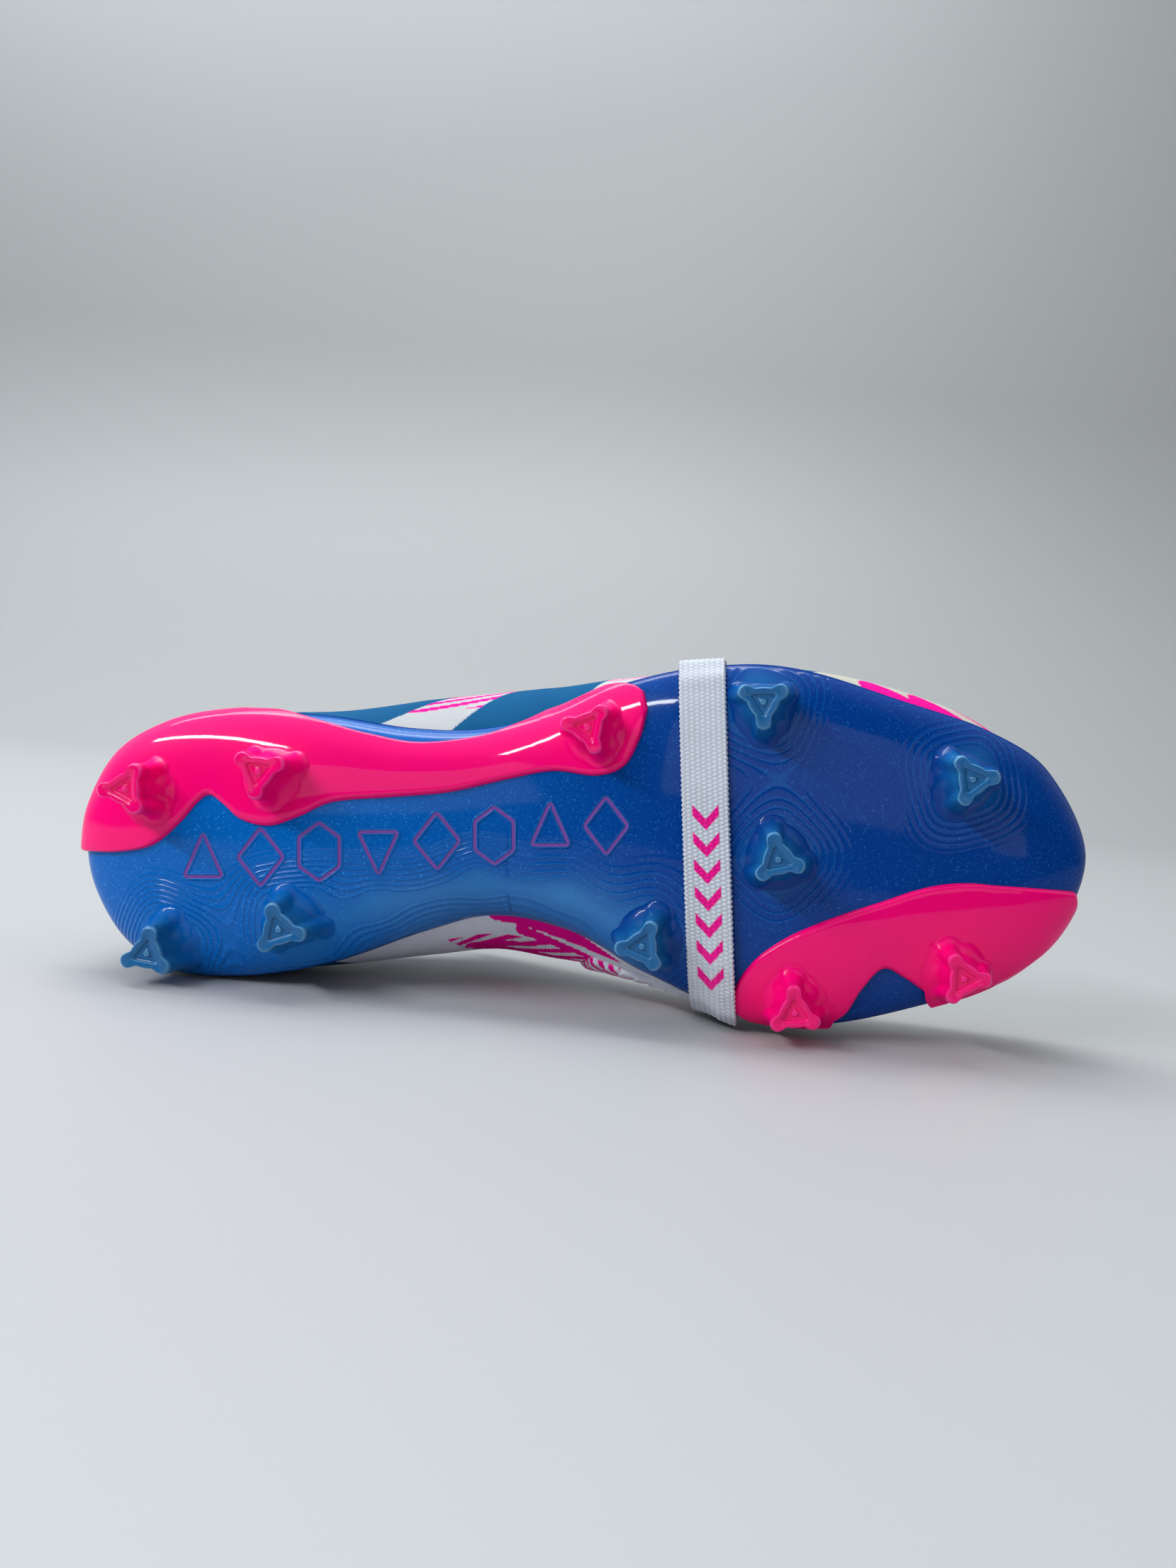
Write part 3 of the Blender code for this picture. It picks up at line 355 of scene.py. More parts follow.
def unit(vectors):
    return vectors / np.linalg.norm(vectors, axis=-1, keepdims=True)


def smooth(low, high, value):
    """Smooth step from 0 at low to 1 at high."""
    share = np.clip((value - low) / (high - low), 0.0, 1.0)
    return share * share * (3 - 2 * share)


def heel_share(x):
    """1 at the heel, falling to 0 at the ball of the foot."""
    return 1 - smooth(*HEEL_FADE, x)


def arch_height(x):
    """Height of the plate's underside along its spine."""
    knots = np.array(PLATE_ARCH, float)
    x = np.clip(x, knots[0, 0], knots[-1, 0])
    index = np.clip(np.searchsorted(knots[:, 0], x, side="right") - 1, 0, len(knots) - 2)
    part = (x - knots[index, 0]) / (knots[index + 1, 0] - knots[index, 0])
    return spline(knots, index + part)[..., 1]


def sole_point(station, q):
    """Point on the plate's underside: q runs from the spine (0) to the rim (1)."""
    station, q = np.broadcast_arrays(np.asarray(station, float), np.asarray(q, float))
    row = spline(SOLE_LOOP, station, True)
    spine = row[..., 2:4]
    angle = q * math.pi / 2
    out = np.sin(angle) ** (2 / SECTION_POWER)
    up = 1 - np.maximum(np.cos(angle), 0.0) ** (2 / SECTION_POWER)
    plan = spine + (row[..., 0:2] - spine) * out[..., None]
    z = arch_height(plan[..., 0]) + row[..., 4] * up
    return np.concatenate((plan, z[..., None]), axis=-1)


def sole_normal(station, q):
    """Outward (downward) unit normal of the plate's underside."""
    q = np.clip(q, *NORMAL_Q)
    along = sole_point(station + STEP, q) - sole_point(station - STEP, q)
    across = sole_point(station, q + STEP) - sole_point(station, q - STEP)
    return unit(np.cross(across, along))


def locate(x, y):
    """Stations and q values of plan positions."""
    x, y = np.broadcast_arrays(np.asarray(x, float), np.asarray(y, float))
    spine_station = np.interp(x, SPINE_X, SPINE_STATIONS)
    side = np.where(y > spline(SOLE_LOOP, spine_station, True)[..., 3], 1.0, -1.0)
    low, high = np.zeros(x.shape), np.full(x.shape, float(LAST))
    for _ in range(BISECTIONS):
        middle = 0.5 * (low + high)
        row = spline(SOLE_LOOP, side * middle, True)
        turn = ((row[..., 0] - row[..., 2]) * (y - row[..., 3])
                - (row[..., 1] - row[..., 3]) * (x - row[..., 2]))
        behind = side * turn < 0
        low = np.where(behind, middle, low)
        high = np.where(behind, high, middle)
    station = side * 0.5 * (low + high)
    row = spline(SOLE_LOOP, station, True)
    reach = np.hypot(row[..., 0] - row[..., 2], row[..., 1] - row[..., 3])
    out = np.hypot(x - row[..., 2], y - row[..., 3]) / reach
    q = 2 / math.pi * np.arcsin(np.minimum(out, 1.0) ** (SECTION_POWER / 2))
    return station, q


def sole_surface(x, y, offset=0.0, limit=1.0):
    """Points on the plate's underside at plan positions, moved out along its normal."""
    station, q = locate(x, y)
    q = np.minimum(q, limit)
    return sole_point(station, q) + sole_normal(station, q) * np.asarray(offset)[..., None]


def upper_point(station, t):
    """Middle surface of the upper: t runs from the feather edge (0) to the throat (1)."""
    station, t = np.broadcast_arrays(np.asarray(station, float), np.asarray(t, float))
    rim = sole_point(station, 1.0)
    tangent = sole_point(station + RIM_STEP, 1.0) - sole_point(station - RIM_STEP, 1.0)
    out = np.stack((-tangent[..., 1], tangent[..., 0], np.zeros(station.shape)), axis=-1)
    out = unit(out)
    row = spline(UPPER_LOOP, station, True)
    low, rise = row[..., 3:4], row[..., 4:5]
    up = np.array((0.0, 0.0, 1.0))
    start = rim - out * (FEATHER_INSET + FEATHER_LEAN_SHARE * low) - up * FEATHER_DROP
    first = start + out * low + up * rise
    end = row[..., 0:3]
    second = end + row[..., 5:8]
    t = t[..., None]
    u = 1 - t
    return u ** 3 * start + 3 * u * u * t * first + 3 * u * t * t * second + t ** 3 * end


def upper_normal(station, t):
    t = np.clip(t, STEP, 1 - STEP)
    along = upper_point(station + STEP, t) - upper_point(station - STEP, t)
    rise = upper_point(station, t + STEP) - upper_point(station, t - STEP)
    return unit(np.cross(rise, along))


def lying_matrix():
    """Turns upright millimetre points into the row frame, fitted to the flap's hinge."""
    upright = Euler((ON_ITS_SIDE, 0.0, 0.0)).to_matrix()
    turn = Matrix.Rotation(SWING, 3, "Y") @ Matrix.Rotation(LEAN, 3, "X")
    rotation = np.array(turn @ upright)
    hinge = np.array(frame["joints"][0]["pos_m"])
    return rotation, hinge - rotation @ FLAP_FOLD * MM


LYING, LYING_ORIGIN = lying_matrix()


def place(points):
    return np.asarray(points, float) @ LYING.T * MM + LYING_ORIGIN


def upright_of(points):
    return (np.asarray(points, float) - LYING_ORIGIN) @ LYING / MM


# ---- meshes


def grid_faces(rows, columns, wrap_rows=False, wrap_columns=False):
    """Quads of a grid of rows x columns points."""
    i = np.arange(rows if wrap_rows else rows - 1)
    j = np.arange(columns if wrap_columns else columns - 1)
    i, j = np.meshgrid(i, j, indexing="ij")
    after_i, after_j = (i + 1) % rows, (j + 1) % columns
    quads = (i * columns + j, i * columns + after_j, after_i * columns + after_j,
             after_i * columns + j)
    return np.stack(quads, axis=-1).reshape(-1, 4).tolist()


def add_object(name, data):
    item = bpy.data.objects.new(name, data)
    bpy.context.scene.collection.objects.link(item)
    return item


def add_piece(name, points, faces, material, nodes=(), body="boot", fields=(), weld=WELD):
    """One piece in the row frame from upright millimetre points; fields are per-point values."""
    mesh = bpy.data.meshes.new(name)
    mesh.from_pydata(place(points).reshape(-1, 3).tolist(), [], faces)
    for field, values in dict(fields).items():
        values = np.asarray(values, np.float32)
        if values.ndim > 1 and values.shape[-1] == 3:
            alpha = np.ones(values.shape[:-1] + (1,), np.float32)
            layer = mesh.attributes.new(field, "FLOAT_COLOR", "POINT")
            layer.data.foreach_set("color", np.concatenate((values, alpha), axis=-1).ravel())
        else:
            layer = mesh.attributes.new(field, "FLOAT", "POINT")
            layer.data.foreach_set("value", values.ravel())
    work = bmesh.new()
    work.from_mesh(mesh)
    if weld:
        bmesh.ops.remove_doubles(work, verts=work.verts, dist=weld)
    bmesh.ops.recalc_face_normals(work, faces=work.faces)
    work.to_mesh(mesh)
    work.free()
    mesh.materials.append(material)
    mesh.shade_smooth()
    item = add_object(name, mesh)
    finish_piece(item, nodes, body)
    return item


def finish_piece(item, nodes, body):
    if nodes:
        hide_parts(*nodes)
    if body:
        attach(item, body)


def thicken(item, thickness, inner_slot=0):
    """Gives a sheet its thickness in mm, on the side that its normals point away from."""
    modifier = item.modifiers.new("thickness", "SOLIDIFY")
    modifier.thickness = thickness * MM
    modifier.offset = -1.0
    modifier.use_even_offset = False
    modifier.material_offset = inner_slot


def thicken_inwards(item, points, lining, thickness):
    """Turns an outer sheet into a thin shell, with the lining on its inner face."""
    if not faces_outwards(item, points):
        item.data.flip_normals()
    item.data.materials.append(lining)
    thicken(item, thickness, inner_slot=1)


def softened_node(node, material, levels=2, body="boot"):
    """A fine, smooth copy of a CAD node, for soft pieces whose CAD shape is right."""
    mesh = frame["nodes"][node].data.copy()
    mesh.materials.clear()
    mesh.materials.append(material)
    work = bmesh.new()
    work.from_mesh(mesh)
    bmesh.ops.remove_doubles(work, verts=work.verts, dist=1e-5)
    bmesh.ops.join_triangles(work, faces=work.faces, angle_face_threshold=1.2,
                             angle_shape_threshold=1.2)
    bmesh.ops.recalc_face_normals(work, faces=work.faces)
    for edge in work.edges:
        edge.smooth = True
    work.to_mesh(mesh)
    work.free()
    mesh.shade_smooth()
    item = add_object(node + "_piece", mesh)
    modifier = item.modifiers.new("soften", "SUBSURF")
    modifier.levels = levels
    modifier.render_levels = levels
    finish_piece(item, (node,), body)
    return item


# ---- materials


def darker(colour, share):
    return tuple(share * value for value in colour)


def new_material(name, roughness, **sockets):
    material = bpy.data.materials.new(name)
    material.use_nodes = True
    shader = material.node_tree.nodes["Principled BSDF"]
    shader.inputs["Roughness"].default_value = roughness
    for socket, value in sockets.items():
        shader.inputs[socket.replace("_", " ")].default_value = value
    return material, shader


class Nodes:
    """Short ways to add and join shader nodes."""

    def __init__(self, material):
        self.tree = material.node_tree

    def add(self, kind, **settings):
        node = self.tree.nodes.new(kind)
        for key, value in settings.items():
            setattr(node, key, value)
        return node

    def join(self, source, target):
        self.tree.links.new(source, target)

    def surface(self, shader, colour, normal):
        self.join(colour, shader.inputs["Base Color"])
        self.join(normal, shader.inputs["Normal"])

    def mottled(self, scale, detail, colour, share):
        return self.mix(self.noise(scale, detail), colour, darker(colour, share))

    def place_in_metres(self):
        return self.add("ShaderNodeTexCoord").outputs["Object"]

    def field(self, name, output="Fac"):
        return self.add("ShaderNodeAttribute", attribute_name=name).outputs[output]

    def maths(self, operation, first, second=0.0):
        node = self.add("ShaderNodeMath", operation=operation)
        for index, value in enumerate((first, second)):
            if isinstance(value, (int, float)):
                node.inputs[index].default_value = value
            else:
                self.join(value, node.inputs[index])
        return node.outputs[0]

    def noise(self, scale, detail=2.0):
        texture = self.add("ShaderNodeTexNoise")
        texture.inputs["Scale"].default_value = scale
        texture.inputs["Detail"].default_value = detail
        self.join(self.place_in_metres(), texture.inputs["Vector"])
        return texture.outputs["Fac"]

    def cells(self, scale, output="Distance"):
        texture = self.add("ShaderNodeTexVoronoi")
        texture.inputs["Scale"].default_value = scale
        self.join(self.place_in_metres(), texture.inputs["Vector"])
        return texture.outputs[output]

    def ramp(self, factor, stops):
        node = self.add("ShaderNodeValToRGB")
        elements = node.color_ramp.elements
        while len(elements) < len(stops):
            elements.new(0.5)
        for element, (position, colour) in zip(elements, stops):
            element.position = position
            element.color = (*colour, 1.0)
        self.join(factor, node.inputs["Fac"])
        return node.outputs["Color"]

    def mix(self, factor, first, second, blend="MIX"):
        node = self.add("ShaderNodeMix", data_type="RGBA", blend_type=blend)
        for socket, value in ((node.inputs["Factor"], factor), (node.inputs[6], first),
                              (node.inputs[7], second)):
            if isinstance(value, (int, float)):
                socket.default_value = value
            elif isinstance(value, tuple):
                socket.default_value = (*value, 1.0)
            else:
                self.join(value, socket)
        return node.outputs[2]

    def bump(self, height, distance, strength=1.0, after=None):
        node = self.add("ShaderNodeBump")
        node.inputs["Strength"].default_value = strength
        node.inputs["Distance"].default_value = distance
        self.join(height, node.inputs["Height"])
        if after is not None:
            self.join(after, node.inputs["Normal"])
        return node.outputs["Normal"]


def plate_material():
    """Deep blue moulding with fine sparkle, contour ridges and frosted places round the studs. Its
    colour also holds painted light: a paler heel (partly painted reflection), pale specks as painted
    glints, lighter ridge lines as painted highlights, painted highlight in the frost and painted shade
    on the side wall.
    """
    material, shader = new_material("plate", 0.3, Coat_Roughness=0.06)
    nodes = Nodes(material)
    gloss_and_wall_shade = nodes.field("gloss_and_wall_shade")
    nodes.join(nodes.maths("MULTIPLY", gloss_and_wall_shade, PLATE_COAT), shader.inputs["Coat Weight"])
    nodes.join(nodes.maths("MULTIPLY", gloss_and_wall_shade, PLATE_SPECULAR), shader.inputs["Specular IOR Level"])
    frost_and_highlight = nodes.field("frost_and_highlight")
    # paler towards the heel: partly the plate's own blue, partly painted reflection of the window
    # light
    base = nodes.mix(nodes.field("heelward"), PLATE_DEEP, PLATE_HEEL_BLUE_AND_REFLECTION)
    # pale specks painted into the colour are painted glints of the plate's metal flecks, more of them
    # towards the heel
    flake_glints = nodes.ramp(nodes.cells(3400.0, "Color"), [(0.80, (0, 0, 0)), (0.97, (1, 1, 1))])
    sparkle = nodes.maths("ADD", nodes.maths("MULTIPLY", nodes.field("heelward"), 0.35), 0.3)
    base = nodes.mix(nodes.maths("MULTIPLY", flake_glints, sparkle), base, SPARKLE_BLUE)
    lines = nodes.maths("SINE", nodes.maths("MULTIPLY", nodes.field("contour"), 2 * math.pi))
    lines = nodes.maths("MULTIPLY", nodes.maths("ADD", nodes.maths("MULTIPLY", lines, 0.5), 0.5),
                        nodes.field("ridged"))
    # lighter tint on the ridge lines is a painted highlight where the ridges catch the light
    base = nodes.mix(nodes.maths("MULTIPLY", nodes.maths("POWER", lines, 6.0), 0.16), base,
                     RIDGE_HIGHLIGHT_BLUE)
    # the pale frost colour is partly frosted moulding, partly painted highlight round the studs and
    # along the waist
    base = nodes.mix(frost_and_highlight, base, FROST_AND_HIGHLIGHT_BLUE)
    # the plate's side wall turns a darker blue where the gloss field falls: painted shade on the side
    # wall
    base = nodes.mix(nodes.maths("MINIMUM", gloss_and_wall_shade, 1.0), SHADED_WALL_BLUE, base)
    depth = nodes.maths("MULTIPLY", nodes.field("heelward"), 2.2)
    relief = nodes.maths("MULTIPLY", nodes.maths("POWER", lines, 2.0),
                         nodes.maths("ADD", depth, 1.0))
    normal = nodes.bump(relief, RIDGE_DEPTH)
    nodes.surface(shader, base, normal)
    nodes.join(normal, shader.inputs["Coat Normal"])
    return material


def gloss_pink_material():
    material, shader = new_material("gloss_pink", 0.4, Coat_Weight=0.45, Coat_Roughness=0.05,
                                    Specular_IOR_Level=0.04)
    nodes = Nodes(material)
    colour = nodes.mix(nodes.noise(25.0), PINK, PINK_DEEP)
    nodes.join(nodes.mix(0.35, PINK, colour), shader.inputs["Base Color"])
    return material


def clear_material(name, colour, edge_highlight_colour, roughness):
    """Clear moulding with a milky inside and a painted highlight along its edges."""
    material, shader = new_material(name, roughness, Coat_Weight=0.4, Coat_Roughness=0.06,
                                    Specular_IOR_Level=0.1, **MILKY)
    nodes = Nodes(material)
    nodes.surface(shader, nodes.mix(nodes.field("edge"), nodes.mottled(160.0, 2.0, colour, 0.8),
                                    edge_highlight_colour),
                  nodes.bump(nodes.noise(420.0, 3.0), GRAIN_DEPTH, 0.4))
    return material


def post_material(name, low, high):
    """Stud post: its carrier's colour at the foot, clear and frosted towards the tip; the paler upper
    part is also painted glow.
    """
    material, shader = new_material(name, 0.3, Coat_Weight=0.3, Coat_Roughness=0.07,
                                    Specular_IOR_Level=0.05, **MILKY)
    nodes = Nodes(material)
    # the post's foot takes the plate's heel-to-toe blue, whose paler heel is partly painted reflection
    foot = nodes.mix(nodes.field("heelward"), *low)
    # paler towards the tip: partly the clear plastic's colour, partly painted glow
    nodes.surface(shader, nodes.mix(nodes.field("rise"), foot, high),
                  nodes.bump(nodes.noise(300.0), GRAIN_DEPTH, 0.4))
    return material


def painted_material(name, roughness, grain_scale, grain_depth, sheen=0.2):
    """Coated knit whose colour is painted on the mesh."""
    material, shader = new_material(name, roughness, Sheen_Weight=sheen, Sheen_Roughness=0.5,
                                    Specular_IOR_Level=0.08)
    nodes = Nodes(material)
    shade = nodes.ramp(nodes.noise(60.0, 4.0), [(0.3, (0.86, 0.86, 0.86)), (0.7, (1, 1, 1))])
    grain = nodes.bump(nodes.cells(grain_scale), grain_depth, 0.5)
    nodes.surface(shader, nodes.mix(1.0, nodes.field("paint", "Color"), shade, "MULTIPLY"),
                  nodes.bump(nodes.field("relief"), SCALE_DEPTH, 0.8, grain))
    return material


def knit_material(name, colour, roughness=0.85, stitch=1300.0):
    """Plain knitted textile: rows of small stitches."""
    material, shader = new_material(name, roughness, Sheen_Weight=0.1, Sheen_Roughness=0.4)
    nodes = Nodes(material)
    shade = nodes.ramp(nodes.cells(stitch), [(0.15, (1, 1, 1)), (0.75, (0.55, 0.55, 0.55))])
    nodes.surface(shader, nodes.mix(1.0, nodes.mottled(45.0, 3.0, colour, 0.75), shade, "MULTIPLY"),
                  nodes.bump(nodes.cells(stitch), STITCH_DEPTH, 0.6))
    return material


def plain_material(name, colour, roughness=0.7):
    material, shader = new_material(name, roughness)
    nodes = Nodes(material)
    nodes.surface(shader, nodes.mottled(130.0, 4.0, colour, 0.8),
                  nodes.bump(nodes.noise(900.0), GRAIN_DEPTH, 0.4))
    return material


def make_materials():
    return {
        "plate": plate_material(),
        "gloss_pink": gloss_pink_material(),
        "tip_blue": clear_material("tip_blue", TIP_BLUE, RIM_HIGHLIGHT_BLUE, 0.25),
        "tip_pink": clear_material("tip_pink", TIP_PINK, RIM_HIGHLIGHT_PINK, 0.15),
        "post_blue": post_material("post_blue", (PLATE_DEEP, PLATE_HEEL_BLUE_AND_REFLECTION), TIP_BLUE),
        "post_pink": post_material("post_pink", (PINK, PINK), TIP_PINK),
        "upper": painted_material("upper_coating", 0.75, 2600.0, 0.0001, 0.0),
        "band": painted_material("band_weave", 0.8, 3200.0, 0.00012, 0.4),
        "groove": plain_material("groove_purple", LINE_PURPLE, 0.35),
        "teal_knit": knit_material("teal_knit", UPPER_TEAL),
        "blue_knit": knit_material("blue_knit", COLLAR_BLUE),
        "lining": knit_material("lining", LINING_GREY),
        "white_coat": knit_material("white_coat", UPPER_WHITE, 0.6, 1800.0),
        "board": plain_material("fibre_board", BOARD_GREY, 0.9),
        "stiffener": plain_material("stiffener", STIFF_CREAM, 0.6),
        "rubber": painted_material("strike_rubber", 0.4, 2400.0, 0.00008, 0.0),
    }


# ---- sole


def plate_studs():
    return [(x, y) for _, x, y, _, carrier in STUDS if carrier == "plate"]


def rounded_distance(x, y, centre, turn):
    """Distance from a stud that grows in rounded squares."""
    dx, dy = x - centre[0], y - centre[1]
    c, s = math.cos(turn), math.sin(turn)
    u, v = c * dx + s * dy, c * dy - s * dx
    return (np.abs(u) ** 3.2 + np.abs(v) ** 3.2) ** (1 / 3.2)


def segment_distance(x, y, start, end):
    """Distance from a straight segment in plan, and the share of the way along it."""
    dx, dy = end[0] - start[0], end[1] - start[1]
    share = np.clip(((x - start[0]) * dx + (y - start[1]) * dy) / (dx * dx + dy * dy), 0, 1)
    return np.hypot(x - start[0] - share * dx, y - start[1] - share * dy), share


def contour_field(x, y):
    """Smoothly joined distance from the blue studs and from the flow line along the waist."""
    softness = CONTOUR_SOFTNESS
    total = np.zeros(np.shape(x))
    for index, centre in enumerate(plate_studs()):
        total += np.exp(-rounded_distance(x, y, centre, 0.5 + index) / softness)
    for start, end in zip(WAIST_FLOW, WAIST_FLOW[1:]):
        total += 0.6 * np.exp(-(segment_distance(x, y, start, end)[0] + 6.0) / softness)
    return -softness * np.log(total + 1e-9)


def plate_swell(x, y):
    """How far the plate swells out under each blue stud, mm."""
    swell = np.zeros(np.shape(x))
    for centre in plate_studs():
        away = np.hypot(x - centre[0], y - centre[1])
        swell = np.maximum(swell, SWELL * np.exp(-(away / SWELL_REACH) ** 2))
    return swell


def build_plate(materials):
    per_station, flat_columns, side_columns = PLATE_GRID
    stations = np.arange(LOOP * per_station) / per_station
    shares = np.concatenate((np.linspace(0.0, PLATE_SIDE, flat_columns, endpoint=False),
                             np.linspace(PLATE_SIDE, 1.0, side_columns)))
    q = 2 / math.pi * np.arcsin(shares ** (SECTION_POWER / 2))
    s, q = np.meshgrid(stations, q, indexing="ij")
    points = sole_point(s, q)
    x, y = points[..., 0], points[..., 1]
    points = points + sole_normal(s, q) * plate_swell(x, y)[..., None]
    contour = contour_field(x, y)
    near = np.exp(-(np.maximum(contour - 6.0, 0.0) / 3.2) ** 2)
    waist = smooth(70, 100, x) * (1 - smooth(140, 165, x)) * smooth(4, 16, y)
    fields = {
        "contour": contour / np.where(x < CONTOUR_MIDDLE, *CONTOUR_PITCH),
        "ridged": smooth(8.0, 10.0, contour) * (1 - smooth(16.0, 22.0, contour)),
        # frost round the studs and along the waist also carries a painted highlight
        "frost_and_highlight": np.clip(STUD_FROST_AND_HIGHLIGHT * near + WAIST_FROST_AND_HIGHLIGHT * waist, 0.0, 0.8),
        "heelward": heel_share(x),
        # the gloss field also sets the painted shade on the plate's side wall
        "gloss_and_wall_shade": (1 - smooth(0.82, 0.92, q)) * (1 + 1.3 * waist),
    }
    faces = grid_faces(*s.shape, wrap_rows=True)
    item = add_piece("outsole", points, faces, materials["plate"],
                     ("outsole_plate",), fields=fields, weld=PLATE_WELD)
    thicken(item, PLATE_WALL)
    return item


def rounded_over(distance, radius):
    """Height share of a rounded edge at a distance in from it."""
    share = np.clip(distance / radius, 0.0, 1.0)
    return np.sqrt(1 - (1 - share) ** 2)


def build_frame(name, pairs, node, materials):
    per_pair, columns = FRAME_GRID
    rows = spline(pairs, np.arange((len(pairs) - 1) * per_pair + 1) / per_pair)
    inner = np.stack(locate(rows[:, 0], rows[:, 1]), axis=-1)
    outer = np.stack(locate(rows[:, 2], rows[:, 3]), axis=-1)
    share = 0.5 - 0.5 * np.cos(np.linspace(0.0, math.pi, columns))
    grid = inner[:, None] + (outer - inner)[:, None] * share[None, :, None]
    station, q = grid[..., 0], np.minimum(grid[..., 1], FRAME_Q_LIMIT)
    points = sole_point(station, q)
    width = np.linalg.norm(np.diff(points, axis=1), axis=2).cumsum(axis=1)
    width = np.concatenate((np.zeros((len(rows), 1)), width), axis=1)
    across = np.minimum(width, width[:, -1:] - width)
    middle = points[:, columns // 2]
    run = np.concatenate(([0.0], np.linalg.norm(np.diff(middle, axis=0), axis=1).cumsum()))
    along = np.minimum(run, run[-1] - run)[:, None]
    edge = rounded_over(np.minimum(across, along + 0.0 * across), FRAME_ROUND)
    crown = FRAME_CROWN * np.sin(math.pi * width / width[:, -1:]) ** 0.7
    height = edge * (FRAME_TOP + FRAME_SINK - FRAME_CROWN + crown) - FRAME_SINK
    points = points + sole_normal(station, q) * height[..., None]
    return add_piece(name, points, grid_faces(*station.shape), materials["gloss_pink"],
                     (node,))


def stud_axis(x, y):
    """Studs stand mostly straight down and lean a little with the plate."""
    station, q = locate(x, y)
    down = np.array((0.0, 0.0, -1.0))
    return unit((1 - AXIS_LEAN) * down + AXIS_LEAN * sole_normal(station, min(float(q), 0.8)))


def ring_ways(axis):
    """Angles round a stud's axis and the unit directions at them."""
    side_x = unit(np.array((1.0, 0.0, 0.0)) - axis * axis[0])
    side_y = np.cross(side_x, axis)
    if side_y[1] < 0:
        side_y = -side_y
    angles = 2 * math.pi * np.arange(STUD_SIDES) / STUD_SIDES
    return angles, np.cos(angles)[:, None] * side_x + np.sin(angles)[:, None] * side_y


def off_lobe(angles, lobe_angle):
    """Angles away from the nearest of the three lobes."""
    return np.abs(np.mod(angles - math.radians(lobe_angle) + THIRD / 2, THIRD) - THIRD / 2)


def lobed_reach(angles, lobe_angle):
    """Three round lobes joined by hollow sides."""
    off = off_lobe(angles, lobe_angle)
    centre = LOBE_REACH - LOBE_ROUND
    chord = np.sqrt(np.maximum(LOBE_ROUND ** 2 - (centre * np.sin(off)) ** 2, 0.0))
    lobe = centre * np.cos(off) + chord
    side = SIDE_REACH / np.cos(THIRD / 2 - off) ** SIDE_HOLLOW
    share = smooth(*LOBE_BLEND, off)
    return lobe * (1 - share) + side * share


def triangle_reach(angles, lobe_angle, side):
    """A plain triangle with blunt corners, whose sides are side from its middle."""
    return np.minimum(side / np.cos(THIRD / 2 - off_lobe(angles, lobe_angle)),
                      BLUNT_CORNER * side)


def ring_faces(rings):
    """Faces of stacked rings, the last of them closed by a point that follows them."""
    faces = grid_faces(rings, STUD_SIDES, wrap_columns=True)
    hub, start = rings * STUD_SIDES, (rings - 1) * STUD_SIDES
    faces += [(start + k, start + (k + 1) % STUD_SIDES, hub) for k in range(STUD_SIDES)]
    return faces


def build_post(name, x, y, lobe_angle, carrier, materials):
    """Stud post: a wide flared foot that draws in to a three-lobed shaft."""
    pink = carrier != "plate"
    axis = stud_axis(x, y)
    foot = sole_surface(x, y)
    head = foot + axis * (STUD_HEIGHT - TIP_HEIGHT)
    angles, ways = ring_ways(axis)
    reach = lobed_reach(angles, lobe_angle)
    top = head + ways * reach[:, None]
    foot_reach = POST_FOOT_RADIUS[carrier] * (reach / reach.mean()) ** 0.2
    flare = foot + ways * foot_reach[:, None]
    cover = np.full(STUD_SIDES, FRAME_TOP - FOOT_SINK)
    if not pink:
        cover = plate_swell(flare[:, 0], flare[:, 1]) - 0.06
    base = sole_surface(flare[:, 0], flare[:, 1], cover, POST_FOOT_LIMIT)
    part = np.linspace(0.0, 1.0, POST_STEPS)[:, None]
    inward = np.sin(part * math.pi / 2) ** 0.85
    rise = 1 - np.cos(part * math.pi / 2) ** 1.15
    height = ((top - base) @ axis)[None, :]
    level = top - base - axis * ((top - base) @ axis)[:, None]
    rings = (base[None] + level[None] * inward[..., None]
             + axis * (height * rise)[..., None])
    points = np.concatenate((rings.reshape(-1, 3), head[None]))
    rise_field = np.append(np.repeat(smooth(0.1, 1.0, part[:, 0]), STUD_SIDES), 1.0)
    material = materials["post_pink" if pink else "post_blue"]
    heelward = np.full(len(points), float(heel_share(x)))
    return add_piece("post_" + name, points, ring_faces(POST_STEPS), material,
                     fields={"rise": rise_field, "heelward": heelward})


def build_tip(name, x, y, lobe_angle, carrier, materials):
    """Clear moulded end with a rim, a three-sided pocket and a round nub in it."""
    pink = carrier != "plate"
    axis = stud_axis(x, y)
    start = sole_surface(x, y) + axis * (STUD_HEIGHT - TIP_HEIGHT)
    angles, ways = ring_ways(axis)
    outlines = (lobed_reach(angles, lobe_angle), triangle_reach(angles, lobe_angle, POCKET_SIDE),
                np.full(STUD_SIDES, NUB_RADIUS))
    rings, lights = [], []
    for share, height, outline, light in TIP_PROFILE:
        rings.append(start + axis * height + ways * (outlines[outline] * share)[:, None])
        # each ring's light value is how much painted highlight its edge gets
        lights += [light] * STUD_SIDES
    points = np.concatenate(rings + [start[None] + axis * TIP_PROFILE[-1][1]])
    material = materials["tip_pink" if pink else "tip_blue"]
    return add_piece("tip_" + name, points, ring_faces(len(rings)), material,
                     ("stud_tip_" + name,),
                     fields={"edge": lights + [0.0]})


